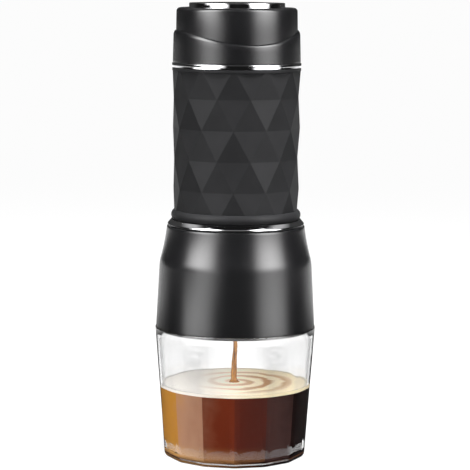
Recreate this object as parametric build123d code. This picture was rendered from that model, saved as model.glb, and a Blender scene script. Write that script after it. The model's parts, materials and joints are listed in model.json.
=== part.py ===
from build123d import *
import math
import os

# A hand-pumped espresso maker that stands on its own cup.  Millimetres, +Z up, -Y is the front,
# and the origin is the middle of the cup's foot.  From the floor up: cup, brewing head with the
# filter basket, water tank inside the grip, lid with the pump, and the pump knob.
# The water tank's radius carries the radii of everything that is stacked round it, above and below.

# ---- Clearances -------------------------------------------------------------------------------
RUNNING_GAP = 0.3         # between pieces that slide or turn past each other
KNOB_GAP = 0.2            # round the knob, inside the lid's collar
SHAFT_PLAY = 0.05         # radial play of the rod in its bush and the piston ring in its cylinder
PUSH_FIT = 0.05           # radial room round a piece that is pressed or screwed in and stays there
LOOSE_FIT = 0.15          # round a piece that is dropped into a wide seat

# ---- Water tank and grip ----------------------------------------------------------------------
TANK_RADIUS = 27.0
TANK_WALL = 1.8
TANK_FLOOR = 2.5
TANK_FLANGE = 2.8
TANK_WELD = 1.2           # the foot's spigot reaches this far up inside the tank's tube
FLANGE_PROUD = 0.9        # the tank's flange stands this far outside the grip's lowest corners
BOSS_STEP = 3.0           # the threaded foot of the tank is this much smaller in radius
BOSS_LENGTH = 10.2
BOSS_WALL = 2.0
NECK_WALL = 3.4           # wall round the tank's mouth, down to the crests of its thread
NECK_LENGTH = 9.4
NECK_GASKET = 1.2
JACKET_WALL = 0.6
SOCKET_RADIUS = 7.5       # socket in the tank's floor for the pump's nose
SOCKET_WALL = 2.0
SOCKET_DEPTH = 5.0
SOCKET_HOLE = 1.0
SOCKET_HOLE_REACH = 5.0   # from the middle to each hole
SOCKET_HOLE_COUNT = 6
SLEEVE_LENGTH = 70.7
SLEEVE_WALL = 1.4         # at the corners of the facets, at the sleeve's foot
SLEEVE_TAPER = 0.7        # the corners stand this much further out at the sleeve's top
FACET_COUNT = 12          # corners in one row
FACET_ROWS = 5
FACET_TURN = -2.5         # degrees, of the rows that line up with the top one
SLEEVE_BAND = 1.6         # smooth round band at the sleeve's top
SLEEVE_BAND_PROUD = 0.05
LIP_HEIGHT = 4.7          # rolled lip at the sleeve's foot
LIP_PROUD = 1.1
LIP_NECK = 1.2            # thickness of the rubber where the lip begins and ends
TRIM_HEIGHT = 2.2
TRIM_PROUD = 0.1          # outside the sleeve's band
BASE_TRIM_WIDTH = 1.95
BASE_TRIM_SEAT = 0.7      # foot of the ring above the housing
BASE_TRIM_LAP = 0.2       # the ring's top laps this far up the sleeve's lip

# ---- Basket, screens and gasket ---------------------------------------------------------------
BASKET_LAND = 5.0         # the basket's flange, from its side to the tank's foot
BASKET_DEPTH = 21.7
BASKET_SHEET = 0.6
BASKET_FLANGE = 1.2
HOLE_RADIUS = 0.8
HOLE_SPACING = 4.6
HOLE_RINGS = 3
HOLE_SIDES = 6
SCREEN_SHEET = 0.4
BREW_GASKET = 2.6
SHOWER_INSET = 0.7
SHOWER_SHEET = 0.8
SHOWER_ROOM = 3.6         # free height above the shower screen
SHOWER_LAND = 1.3
SMALL_SCREW = 1.45
SMALL_SCREW_HEAD = 2.8
SMALL_SCREW_HEAD_HEIGHT = 1.5
SMALL_SCREW_LENGTH = 9.0

# ---- Brewing head and the outlet --------------------------------------------------------------
HEAD_HEIGHT = 47.3
HEAD_WALL = 1.9
HEAD_TOP_PLATE = 2.5
HEAD_EDGE_ROUND = 0.5
FLARE_DROP = 14.6         # height of the hollow sweep under the housing's top
FLARE_WIDTH = 2.8         # the sweep's foot stands this far outside the neck
CREASE_WIDTH = 3.5        # and the crease this far
CREASE_DROP = 18.9        # from the housing's top down to the soft crease above its skirt
SKIRT_TAPER = 1.55        # the skirt widens this much down to its foot
SPIGOT_DEPTH = 1.6        # the part of the housing that drops inside the cup
RIB_COUNT = 8
RIB_THICKNESS = 1.2
RIB_DEPTH = 3.5
SCREW_COUNT = 4
SCREW_SHANK = 1.2
SCREW_HEAD = 1.5
SCREW_HEAD_HEIGHT = 1.6
SCREW_LENGTH = 4.0
HOLDER_WALL = 2.2
HOLDER_LEDGE = 2.0
HOLDER_SCREW_FLANGE = 2.5
FUNNEL_ROOM = 3.0         # free height between the basket's floor and the funnel's edge
FUNNEL_SLOPE_DROP = 2.6
OUTLET_RADIUS = 4.0
OUTLET_BORE = 1.6
OUTLET_BOSS_WALL = 2.0
OUTLET_BOSS_LENGTH = 4.4
OUTLET_FLANGE = 1.5
OUTLET_SEAL = 0.7

# ---- Cup --------------------------------------------------------------------------------------
CUP_HEIGHT = 61.6
CUP_TAPER = 4.2           # in radius, from the lip down to the foot
CUP_LIP_HEIGHT = 2.2      # the round band above the flat sides
CUP_LIP_SHOW = 0.35       # how far the cup's lip shows outside the housing
CUP_SIDES = 14
CUP_FLAT_DEPTH = 0.6      # at the foot, the middle of a flat lies this far inside the corner circle
CUP_FLAT_FADE = 0.45      # and this much less at the lip
CUP_WALL = 1.6
CUP_FLOOR = 2.6
CUP_FOOT_ROUND = 2.4
CUP_FOOT_BEVEL = 0.7      # flat that stands for the tightest part of that round
CUP_FOOT_RECESS = 0.6     # hollow under the foot, so that the cup stands on a ring
CUP_FOOT_RING = 5.0
COFFEE_LEVEL = 34.5       # top of the coffee with its foam, above the table

# ---- Lid --------------------------------------------------------------------------------------
LID_PLATE = 3.4
LID_SKIRT = 10.6          # threaded skirt that screws into the tank's neck
LID_SKIRT_WALL = 2.0
LID_HUB_WALL = 3.0
LID_RIBS = 6
COLLAR_FOOT_INSET = 0.3
COLLAR_WALL = 1.15        # at the collar's foot
COLLAR_SEAT = 1.4
COLLAR_EDGE = 0.65        # thickness of the collar at its wavy top edge
COLLAR_FOOT_BEVEL = 0.4
WAVE_HEIGHT = 12.05       # middle of the wavy edge above the lid's foot
WAVE_SWING = 3.3          # the edge rises and falls by this much at the foot's radius, twice round
WAVE_TURN = 15.0          # degrees, direction of one of the two high points
WAVE_ROUND = 0.45
GUIDE_WALL = 1.5
GUIDE_BEAD = 0.6          # outward bead at the guide tube's top, which stops the knob
GUIDE_BEAD_HEIGHT = 1.2

# ---- Pump -------------------------------------------------------------------------------------
STROKE = 16.0
CYLINDER_RADIUS = 8.0
CYLINDER_WALL = 1.5
CYLINDER_SEAT = 5.0       # length of cylinder held in the lid's hub
ROD_RADIUS = 4.0
BUSH_WALL = 2.0
BUSH_LENGTH = 8.5
BUSH_FLANGE = 1.0
ROD_SEAL = 2.5
PISTON_HEIGHT = 6.8
PISTON_SEAL_HEIGHT = 2.0
PISTON_SEAL_DEPTH = 1.7
PISTON_REST = 0.6         # room under the piston at the bottom of its stroke
BLOCK_WALL = 2.5          # the valve block's collar round the cylinder
BLOCK_LENGTH = 6.5        # valve block, from the nose's shoulder to the cylinder's end
BLOCK_PLUG = 2.0
BLOCK_COLLAR = 5.0
NOSE_GAP = 0.3
SHOULDER_GAP = 0.5
INLET_COUNT = 4
INLET_HOLE = 0.9
INLET_REACH = 5.0         # from the middle to each port
INLET_HEIGHT = 2.5
FLAP_SHEET = 0.6
FLAP_MARGIN = 1.4         # bare rim of the valve block outside the flap
VALVE_BORE = 3.0
VALVE_SEAT_HOLE = 1.3
VALVE_SEAT_LENGTH = 3.0
VALVE_SEAT_FLANGE = 1.0
BALL_PLAY = 0.7           # room round the outlet ball in its bore
OUTLET_SPRING_WIRE = 0.25
OUTLET_SPRING_TURNS = 4
OUTLET_FLOOR = 1.4
RETURN_SPRING_ROOM = 2.4  # between the rod and the spring's wire
RETURN_SPRING_WIRE = 0.6
RETURN_SPRING_TURNS = 5
RETURN_SPRING_LENGTH = 9.0
SPRING_LAND = 1.2         # the bush's flange and the washer reach this far outside the spring
WASHER = 1.5
O_RING = 0.7

# ---- Knob -------------------------------------------------------------------------------------
KNOB_HEIGHT = 25.4        # from the lid's foot to the knob's top face
KNOB_TAPER = 0.35
KNOB_PLATE = 2.5
KNOB_WALL = 1.7
KNOB_ROUND = 1.7
KNOB_BOSS_WALL = 3.0
KNOB_RIBS = 6
ROD_HOLD = 2.25           # boss left above the rod's end, under the top plate
SKIRT_BEAD = 0.5          # inward bead at the knob skirt's foot, which meets the guide's bead
SKIRT_BEAD_HEIGHT = 1.5
KNOB_SCREW = 1.95
KNOB_SCREW_HEAD = 3.0
KNOB_SCREW_HEAD_HEIGHT = 1.6
KNOB_SCREW_LENGTH = 12.0
RING_INSET = 5.8          # from the knob's top edge in to the bright ring
RING_WIDTH = 1.9
RING_HEIGHT = 2.5
RING_CHAMFER = 0.45
GROOVE_DEPTH = 0.8
GROOVE_MARGIN = 0.8       # dark gap outside the ring
DISC_DROP = 0.6           # the disc's face below the ring's top

# ---- Heights worked out from the sizes above --------------------------------------------------
HEAD_TOP = CUP_HEIGHT + HEAD_HEIGHT
PLATE_UNDER = HEAD_TOP - HEAD_TOP_PLATE
CREASE = HEAD_TOP - CREASE_DROP
SLEEVE_FOOT = HEAD_TOP + TANK_FLANGE
SLEEVE_TOP = SLEEVE_FOOT + SLEEVE_LENGTH
LIP_MIDDLE = SLEEVE_FOOT + LIP_HEIGHT / 2
FACET_TOP = SLEEVE_TOP + SLEEVE_BAND / 3
FACET_FOOT = SLEEVE_FOOT + LIP_HEIGHT / 8
FACET_ROW = (FACET_TOP - FACET_FOOT) / FACET_ROWS
LID_FOOT = SLEEVE_TOP + TRIM_HEIGHT
LID_TOP = LID_FOOT + LID_PLATE
NECK_TOP = LID_FOOT - NECK_GASKET
BOSS_FOOT = HEAD_TOP - BOSS_LENGTH
SHOWER_TOP = BOSS_FOOT + SHOWER_SHEET + PUSH_FIT
FLOOR_UNDER = SHOWER_TOP + SHOWER_ROOM
FLOOR_TOP = FLOOR_UNDER + TANK_FLOOR
LEDGE = BOSS_FOOT - BREW_GASKET - BASKET_FLANGE
BASKET_FOOT = LEDGE - BASKET_DEPTH
FUNNEL_TOP = BASKET_FOOT - FUNNEL_ROOM
FUNNEL_FOOT = FUNNEL_TOP - FUNNEL_SLOPE_DROP
BOSS_END = FUNNEL_FOOT - OUTLET_BOSS_LENGTH
NOSE_FOOT = FLOOR_TOP + NOSE_GAP
SHOULDER = FLOOR_TOP + SOCKET_DEPTH + SHOULDER_GAP
NOSE_SEAL_MIDDLE = FLOOR_TOP + SOCKET_DEPTH / 2
CYLINDER_FOOT = SHOULDER + BLOCK_LENGTH
BLOCK_TOP = CYLINDER_FOOT + BLOCK_PLUG
SEAT_TOP = BLOCK_TOP + FLAP_SHEET + VALVE_SEAT_FLANGE
PISTON_FOOT = SEAT_TOP + PISTON_REST
SPRING_FOOT = LID_TOP + BUSH_FLANGE
WASHER_FOOT = SPRING_FOOT + RETURN_SPRING_LENGTH
WASHER_TOP = WASHER_FOOT + WASHER
BUSH_FOOT = LID_TOP - BUSH_LENGTH
CYLINDER_TOP = BUSH_FOOT - ROD_SEAL
COLLAR_TOP = LID_FOOT + WAVE_HEIGHT + WAVE_SWING + LOOSE_FIT
KNOB_TOP = LID_FOOT + KNOB_HEIGHT
KNOB_UNDER = KNOB_TOP - KNOB_PLATE
KNOB_FOOT = LID_TOP + RUNNING_GAP
GUIDE_TOP = KNOB_UNDER - RUNNING_GAP
RING_FOOT = KNOB_TOP - GROOVE_DEPTH
RING_TOP = KNOB_TOP + RING_HEIGHT
ROD_TOP = KNOB_UNDER - ROD_HOLD

# ---- Radii worked out from the tank's radius, outwards and downwards --------------------------
JACKET_BORE = TANK_RADIUS + PUSH_FIT
SLEEVE_BORE = JACKET_BORE + JACKET_WALL + PUSH_FIT
SLEEVE_RADIUS = SLEEVE_BORE + SLEEVE_WALL
LIP_RADIUS = SLEEVE_RADIUS + LIP_PROUD
BAND_RADIUS = SLEEVE_RADIUS + SLEEVE_TAPER + SLEEVE_BAND_PROUD
TRIM_RADIUS = BAND_RADIUS + TRIM_PROUD
FLANGE_RADIUS = SLEEVE_RADIUS + FLANGE_PROUD
BASE_TRIM_RADIUS = FLANGE_RADIUS + BASE_TRIM_WIDTH
HEAD_NECK_RADIUS = BASE_TRIM_RADIUS + LOOSE_FIT
CREASE_RADIUS = HEAD_NECK_RADIUS + CREASE_WIDTH
SKIRT_FOOT_RADIUS = CREASE_RADIUS + SKIRT_TAPER
CUP_LIP_RADIUS = SKIRT_FOOT_RADIUS + CUP_LIP_SHOW
CUP_FOOT_RADIUS = CUP_LIP_RADIUS - CUP_TAPER
CUP_MOUTH = CUP_LIP_RADIUS - CUP_WALL
SPIGOT_RADIUS = CUP_MOUTH - RUNNING_GAP
BOSS_RADIUS = TANK_RADIUS - BOSS_STEP
SOCKET_BORE = BOSS_RADIUS + RUNNING_GAP
HOLDER_OUTER = SOCKET_BORE + HOLDER_WALL
HOLDER_FLANGE_RADIUS = HEAD_NECK_RADIUS - HEAD_WALL - 2 * PUSH_FIT
SCREW_CIRCLE = (HOLDER_OUTER + HOLDER_FLANGE_RADIUS) / 2
BASKET_RADIUS = BOSS_RADIUS - BASKET_LAND
BASKET_BORE = BASKET_RADIUS + RUNNING_GAP
SHOWER_RADIUS = BASKET_RADIUS - SHOWER_INSET
NECK_RADIUS = TANK_RADIUS - NECK_WALL
LID_THREAD = NECK_RADIUS - RUNNING_GAP
LID_SHOULDER = TANK_RADIUS - RUNNING_GAP
COLLAR_FOOT_RADIUS = TRIM_RADIUS - COLLAR_FOOT_INSET
COLLAR_BORE = COLLAR_FOOT_RADIUS - COLLAR_WALL

# ---- Radii of the knob, and of the pump about its rod -----------------------------------------
KNOB_RADIUS = COLLAR_BORE - KNOB_GAP
KNOB_TOP_RADIUS = KNOB_RADIUS - KNOB_TAPER
RING_RADIUS = KNOB_TOP_RADIUS - RING_INSET
SKIRT_BORE = KNOB_RADIUS - KNOB_WALL
GUIDE_BEAD_RADIUS = SKIRT_BORE - KNOB_GAP
GUIDE_RADIUS = GUIDE_BEAD_RADIUS - GUIDE_BEAD
NOSE_RADIUS = SOCKET_RADIUS - RUNNING_GAP
NOSE_SEAL_RADIUS = SOCKET_RADIUS - SHAFT_PLAY
BUSH_BORE = ROD_RADIUS + SHAFT_PLAY
BUSH_RADIUS = BUSH_BORE + BUSH_WALL
RETURN_SPRING_RADIUS = ROD_RADIUS + RETURN_SPRING_ROOM + RETURN_SPRING_WIRE
SPRING_LAND_RADIUS = RETURN_SPRING_RADIUS + RETURN_SPRING_WIRE + SPRING_LAND
KNOB_BOSS_RADIUS = ROD_RADIUS + KNOB_BOSS_WALL
CYLINDER_OUTER = CYLINDER_RADIUS + CYLINDER_WALL
LID_HUB_RADIUS = CYLINDER_OUTER + LID_HUB_WALL
BLOCK_RADIUS = CYLINDER_OUTER + BLOCK_WALL
FLAP_RADIUS = CYLINDER_RADIUS - FLAP_MARGIN
BALL_RADIUS = VALVE_BORE - BALL_PLAY


# ---- Helpers ----------------------------------------------------------------------------------
def turned(*outline):
    """A solid turned about Z from a closed outline of (radius, height) points."""
    return revolve(Plane.XZ * Polygon(*outline, align=None), Axis.Z)


def ring(inner, outer, bottom, top):
    """A plain ring about Z."""
    return turned((inner, bottom), (outer, bottom), (outer, top), (inner, top))


def disc(radius, bottom, top):
    """A plain round disc or pin on the Z axis."""
    foot = (Align.CENTER, Align.CENTER, Align.MIN)
    return Pos(0, 0, bottom) * Cylinder(radius, top - bottom, align=foot)


def o_ring(outer, height):
    """A rubber ring by its outer radius, its round section drawn with eight sides."""
    middle = outer - O_RING
    return revolve(Plane.XZ * Pos(middle, height) * RegularPolygon(O_RING, 8), Axis.Z)


def o_ring_groove(outer, height):
    """The cut in a round piece that an o_ring of the same size lies in."""
    depth = 2 * O_RING + PUSH_FIT
    return ring(outer - depth, outer + O_RING, height - O_RING - PUSH_FIT, height + O_RING + PUSH_FIT)


def hole_pattern(bottom, top):
    """Small six-sided holes in rings about a plain middle, for a strainer."""
    hole = extrude(Plane.XY.offset(bottom) * RegularPolygon(HOLE_RADIUS, HOLE_SIDES), top - bottom)
    holes = []
    for number in range(1, HOLE_RINGS + 1):
        holes += PolarLocations(number * HOLE_SPACING, 6 * number) * hole
    return holes


def coil_spring(middle, wire, turns, bottom, top):
    """A round-wire compression spring between two heights."""
    height = top - bottom - 2 * wire
    path = Pos(0, 0, bottom + wire) * Helix(height / turns, height, middle)
    section = Plane(origin=path @ 0, z_dir=path % 0) * RegularPolygon(wire, 6)
    return sweep(section, path=path)


def screw(shank, head, head_height, length, seat):
    """A screw that hangs from its head: shank below the seat, head above it."""
    return disc(shank, seat - length, seat) + disc(head, seat, seat + head_height)


def hanging_screw(shank, head, head_height, length, seat):
    """The same screw driven upwards: head below the seat, shank above it."""
    return flip(screw(shank, head, head_height, length, seat), seat)


def flip(piece, height):
    """The same piece upside down about a height."""
    return Pos(0, 0, height) * Rot(180, 0, 0) * Pos(0, 0, -height) * piece


# ---- Cup --------------------------------------------------------------------------------------
def cup_room(clearance, top):
    """What fills the cup up to a height, clear of its wall and floor."""
    floor = CUP_FLOOR + clearance
    slope = CUP_TAPER / CUP_HEIGHT
    inner = CUP_FOOT_RADIUS - CUP_WALL - clearance
    room = turned((0, floor), (inner + slope * floor, floor), (inner + slope * top, top), (0, top))
    return chamfer(room.edges().group_by(Axis.Z)[0], CUP_FOOT_ROUND - CUP_WALL / 2)


def cup():
    """Clear cup: fourteen flats with blunt corners, a round lip and a hollow foot."""
    slope = CUP_TAPER / CUP_HEIGHT
    corner = 1 / math.cos(math.pi / CUP_SIDES)
    flats = []
    at_foot = CUP_FOOT_RADIUS - CUP_FLAT_DEPTH
    at_lip = CUP_LIP_RADIUS - CUP_FLAT_DEPTH + CUP_FLAT_FADE
    for height, middle in ((0, at_foot), (CUP_HEIGHT, at_lip)):
        polygon = RegularPolygon(middle * corner, CUP_SIDES)
        flats.append(Plane.XY.offset(height) * Rot(0, 0, 90) * polygon)
    body = turned(
        (0, 0), (CUP_FOOT_RADIUS - CUP_FOOT_ROUND, 0), (CUP_FOOT_RADIUS - CUP_FOOT_BEVEL, CUP_FOOT_BEVEL),
        (CUP_FOOT_RADIUS + slope * CUP_FOOT_ROUND, CUP_FOOT_ROUND),
        (CUP_LIP_RADIUS, CUP_HEIGHT), (0, CUP_HEIGHT),
    )
    band_foot = CUP_HEIGHT - CUP_LIP_HEIGHT
    band_radius = CUP_LIP_RADIUS - CUP_LIP_HEIGHT * slope
    lip = turned((0, band_foot), (band_radius, band_foot), (CUP_LIP_RADIUS, CUP_HEIGHT), (0, CUP_HEIGHT))
    body = (body & loft(flats)) + lip
    hollow_foot = disc(CUP_FOOT_RADIUS - CUP_FOOT_RING, 0, CUP_FOOT_RECESS)
    return body - cup_room(0, CUP_HEIGHT) - hollow_foot


def coffee():
    """The espresso in the cup, with its foam."""
    return cup_room(PUSH_FIT, COFFEE_LEVEL)


# ---- Brewing head -----------------------------------------------------------------------------
def housing_body(inset, bottom, top):
    """Solid inside the housing's side, moved in by inset: skirt, crease and flare."""
    flare_foot = (HEAD_NECK_RADIUS - inset + FLARE_WIDTH, HEAD_TOP - FLARE_DROP)
    skirt = Line((SKIRT_FOOT_RADIUS - inset, CUP_HEIGHT), (CREASE_RADIUS - inset, CREASE))
    crease = TangentArc(skirt @ 1, flare_foot, tangent=skirt % 1)
    flare = TangentArc(crease @ 1, (HEAD_NECK_RADIUS - inset, HEAD_TOP), tangent=crease % 1)
    closing = Polyline(flare @ 1, (0, HEAD_TOP), (0, CUP_HEIGHT), skirt @ 0)
    solid = revolve(Plane.XZ * make_face(Curve() + [skirt, crease, flare, closing]), Axis.Z)
    return solid & disc(CUP_LIP_RADIUS, bottom, top)


def brew_housing():
    """Outer shell of the head: neck plate, flare, skirt, spigot for the cup, and inner ribs."""
    outer = housing_body(0, CUP_HEIGHT, HEAD_TOP)
    outer = fillet(outer.edges().group_by(Axis.Z)[-1], HEAD_EDGE_ROUND)
    spigot = disc(SPIGOT_RADIUS, CUP_HEIGHT - SPIGOT_DEPTH, CUP_HEIGHT)
    hollow = housing_body(HEAD_WALL, CUP_HEIGHT + HEAD_WALL, PLATE_UNDER)
    mouth = disc(SPIGOT_RADIUS - HEAD_WALL, CUP_HEIGHT - SPIGOT_DEPTH, CUP_HEIGHT + HEAD_WALL)
    opening = disc(HOLDER_OUTER + RUNNING_GAP, PLATE_UNDER, HEAD_TOP)
    shell = outer + spigot - hollow - mouth - opening
    rib_foot = CUP_HEIGHT + HEAD_WALL
    rib_edge = CREASE_RADIUS - HEAD_WALL - RIB_DEPTH
    strip = Polygon(
        (rib_edge, rib_foot), (SKIRT_FOOT_RADIUS - HEAD_WALL / 2, rib_foot),
        (CREASE_RADIUS - HEAD_WALL / 2, CREASE), (rib_edge, CREASE), align=None,
    )
    rib = extrude(Plane.XZ * strip, RIB_THICKNESS / 2, both=True)
    ribs = PolarLocations(0, RIB_COUNT, 180 / RIB_COUNT) * rib
    screw_hole = disc(SCREW_SHANK + PUSH_FIT, PLATE_UNDER, HEAD_TOP - HEAD_EDGE_ROUND)
    return shell + ribs - PolarLocations(SCREW_CIRCLE, SCREW_COUNT) * screw_hole


def basket_holder():
    """Socket for the tank's threaded foot, ledge and well for the basket, funnel and outlet boss."""
    well_outer = BASKET_BORE + HOLDER_WALL
    socket_top = HEAD_TOP - RUNNING_GAP
    flange_foot = PLATE_UNDER - HOLDER_SCREW_FLANGE
    boss_radius = OUTLET_RADIUS + PUSH_FIT + OUTLET_BOSS_WALL
    body = turned(
        (0, BOSS_END), (boss_radius, BOSS_END), (boss_radius, FUNNEL_FOOT - HOLDER_LEDGE),
        (well_outer, FUNNEL_TOP - HOLDER_LEDGE), (well_outer, LEDGE - HOLDER_LEDGE),
        (HOLDER_OUTER, LEDGE - HOLDER_LEDGE), (HOLDER_OUTER, flange_foot),
        (HOLDER_FLANGE_RADIUS, flange_foot), (HOLDER_FLANGE_RADIUS, PLATE_UNDER),
        (HOLDER_OUTER, PLATE_UNDER), (HOLDER_OUTER, socket_top), (0, socket_top),
    )
    inside = turned(
        (0, BOSS_END), (OUTLET_RADIUS + PUSH_FIT, BOSS_END), (OUTLET_RADIUS + PUSH_FIT, FUNNEL_FOOT),
        (BASKET_BORE, FUNNEL_TOP), (BASKET_BORE, LEDGE), (SOCKET_BORE, LEDGE),
        (SOCKET_BORE, socket_top), (0, socket_top),
    )
    hole = disc(SCREW_SHANK + PUSH_FIT, flange_foot, PLATE_UNDER)
    return body - inside - PolarLocations(SCREW_CIRCLE, SCREW_COUNT) * hole


def housing_screws():
    """The screws that hold the holder under the housing's neck plate."""
    seat = PLATE_UNDER - HOLDER_SCREW_FLANGE
    one = hanging_screw(SCREW_SHANK, SCREW_HEAD, SCREW_HEAD_HEIGHT, SCREW_LENGTH, seat)
    return Compound(children=PolarLocations(SCREW_CIRCLE, SCREW_COUNT) * one)


def outlet_nozzle():
    """Flanged spout screwed into the holder from below."""
    seat = BOSS_END - OUTLET_SEAL
    foot = seat - OUTLET_FLANGE
    flange_radius = OUTLET_RADIUS + OUTLET_BOSS_WALL
    return turned(
        (OUTLET_BORE, foot), (flange_radius - OUTLET_FLANGE / 2, foot),
        (flange_radius, seat - OUTLET_FLANGE / 2), (flange_radius, seat), (OUTLET_RADIUS, seat),
        (OUTLET_RADIUS, FUNNEL_FOOT - RUNNING_GAP), (OUTLET_BORE, FUNNEL_FOOT - RUNNING_GAP),
    )


def nozzle_seal():
    """Flat washer between the nozzle's flange and the holder's boss."""
    outer = OUTLET_RADIUS + OUTLET_BOSS_WALL
    return ring(OUTLET_RADIUS + PUSH_FIT, outer, BOSS_END - OUTLET_SEAL, BOSS_END)


# ---- Basket -----------------------------------------------------------------------------------
def filter_basket():
    """Pressed steel basket with a wide flange and a strainer floor."""
    flange_radius = BOSS_RADIUS - RUNNING_GAP
    inner = BASKET_RADIUS - BASKET_SHEET
    body = turned(
        (0, BASKET_FOOT), (BASKET_RADIUS - 2 * BASKET_SHEET, BASKET_FOOT),
        (BASKET_RADIUS, BASKET_FOOT + 2 * BASKET_SHEET), (BASKET_RADIUS, LEDGE), (flange_radius, LEDGE),
        (flange_radius, LEDGE + BASKET_FLANGE), (inner, LEDGE + BASKET_FLANGE),
        (inner, BASKET_FOOT + 2 * BASKET_SHEET), (inner - BASKET_SHEET, BASKET_FOOT + BASKET_SHEET),
        (0, BASKET_FOOT + BASKET_SHEET),
    )
    return body - hole_pattern(BASKET_FOOT, BASKET_FOOT + BASKET_SHEET)


def basket_screen():
    """Fine mesh disc that lies on the basket's floor."""
    radius = BASKET_RADIUS - 3 * BASKET_SHEET
    return disc(radius, BASKET_FOOT + BASKET_SHEET, BASKET_FOOT + BASKET_SHEET + SCREEN_SHEET)


# ---- Water tank and grip ----------------------------------------------------------------------
def water_tank():
    """Tube of the tank, with the thread of the lid in its neck."""
    inner = TANK_RADIUS - TANK_WALL
    neck_foot = NECK_TOP - NECK_LENGTH
    return turned(
        (inner, SLEEVE_FOOT), (TANK_RADIUS, SLEEVE_FOOT), (TANK_RADIUS, NECK_TOP),
        (NECK_RADIUS, NECK_TOP), (NECK_RADIUS, neck_foot), (inner, neck_foot - TANK_WALL),
    )


def tank_foot():
    """Floor welded under the tube: flange for the grip, threaded boss and the pump's socket."""
    boss_bore = BOSS_RADIUS - BOSS_WALL
    spigot = TANK_RADIUS - TANK_WALL - PUSH_FIT
    spigot_bore = spigot - TANK_WALL / 2
    spigot_top = SLEEVE_FOOT + TANK_WELD
    step = SLEEVE_FOOT - TANK_WALL
    outside = turned(
        (0, BOSS_FOOT), (BOSS_RADIUS, BOSS_FOOT), (BOSS_RADIUS, HEAD_TOP), (FLANGE_RADIUS, HEAD_TOP),
        (FLANGE_RADIUS, SLEEVE_FOOT), (spigot, SLEEVE_FOOT), (spigot, spigot_top), (0, spigot_top),
    )
    inside = turned(
        (0, FLOOR_TOP), (boss_bore, FLOOR_TOP), (boss_bore, step),
        (spigot_bore, step + spigot_bore - boss_bore), (spigot_bore, spigot_top), (0, spigot_top),
    )
    tower = ring(SOCKET_RADIUS, SOCKET_RADIUS + SOCKET_WALL, FLOOR_TOP, FLOOR_TOP + SOCKET_DEPTH)
    chamber = disc(SHOWER_RADIUS - SHOWER_LAND, BOSS_FOOT, FLOOR_UNDER)
    recess = disc(SHOWER_RADIUS + PUSH_FIT, BOSS_FOOT, SHOWER_TOP)
    post = disc(SMALL_SCREW * 2, SHOWER_TOP, FLOOR_UNDER)
    screw_hole = disc(SMALL_SCREW + PUSH_FIT, SHOWER_TOP, FLOOR_UNDER + TANK_FLOOR / 2)
    hole = disc(SOCKET_HOLE, FLOOR_UNDER, FLOOR_TOP)
    body = outside - inside - chamber - recess + post + tower
    return body - screw_hole - PolarLocations(SOCKET_HOLE_REACH, SOCKET_HOLE_COUNT) * hole


def shower_screen():
    """Strainer that spreads the water over the coffee, let into the tank's foot."""
    body = disc(SHOWER_RADIUS, SHOWER_TOP - SHOWER_SHEET, SHOWER_TOP)
    middle = disc(SMALL_SCREW + PUSH_FIT, SHOWER_TOP - SHOWER_SHEET, SHOWER_TOP)
    return body - hole_pattern(SHOWER_TOP - SHOWER_SHEET, SHOWER_TOP) - middle


def screen_screw():
    """Screw that holds the shower screen to the post above it."""
    seat = SHOWER_TOP - SHOWER_SHEET
    length = SHOWER_SHEET + SHOWER_ROOM + TANK_FLOOR / 4
    return hanging_screw(SMALL_SCREW, SMALL_SCREW_HEAD, SMALL_SCREW_HEAD_HEIGHT, length, seat)


def brew_gasket():
    """Rubber ring that seals the basket's flange against the tank's foot."""
    inner = BASKET_RADIUS - 2 * PUSH_FIT
    return ring(inner, BOSS_RADIUS - RUNNING_GAP, BOSS_FOOT - BREW_GASKET, BOSS_FOOT)


def tank_jacket():
    """Thin steel tube round the tank, under the grip."""
    return ring(JACKET_BORE, JACKET_BORE + JACKET_WALL, SLEEVE_FOOT, SLEEVE_TOP)


def facet_corners(row):
    """Corners of one row of facets; every other row is turned by half a facet."""
    height = FACET_TOP - row * FACET_ROW
    turn = FACET_TURN + (row % 2) * 180 / FACET_COUNT
    radius = SLEEVE_RADIUS + SLEEVE_TAPER * (height - SLEEVE_FOOT) / SLEEVE_LENGTH
    angles = [math.radians(turn + 360 * i / FACET_COUNT) for i in range(FACET_COUNT)]
    return [Vector(radius * math.cos(a), radius * math.sin(a), height) for a in angles]


def faceted_body():
    """Solid whose side is rows of flat triangles, alternately point up and point down."""
    rows = [facet_corners(row) for row in range(FACET_ROWS + 1)]
    faces = [Face(Wire.make_polygon(rows[0])), Face(Wire.make_polygon(rows[-1]))]
    for number, (upper, lower) in enumerate(zip(rows, rows[1:])):
        for i in range(FACET_COUNT):
            after = (i + 1) % FACET_COUNT
            under, over = (i, after) if number % 2 == 0 else (after, i)
            faces.append(Face(Wire.make_polygon([upper[i], upper[after], lower[under]])))
            faces.append(Face(Wire.make_polygon([lower[i], lower[after], upper[over]])))
    return Solid(Shell(faces))


def grip_sleeve():
    """Rubber sleeve: faceted side, smooth top band and a rolled lip at the foot."""
    band = disc(BAND_RADIUS, SLEEVE_TOP - SLEEVE_BAND, SLEEVE_TOP)
    lip_top = SLEEVE_FOOT + LIP_HEIGHT
    neck = SLEEVE_BORE + LIP_NECK
    bead = ThreePointArc((neck, lip_top), (LIP_RADIUS, LIP_MIDDLE), (neck, SLEEVE_FOOT))
    closing = Polyline(bead @ 1, (0, SLEEVE_FOOT), (0, lip_top), bead @ 0)
    lip = revolve(Plane.XZ * make_face(Curve() + [bead, closing]), Axis.Z)
    side = faceted_body() & disc(LIP_RADIUS, LIP_MIDDLE, SLEEVE_TOP)
    return side + band + lip - disc(SLEEVE_BORE, SLEEVE_FOOT, SLEEVE_TOP)


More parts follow.
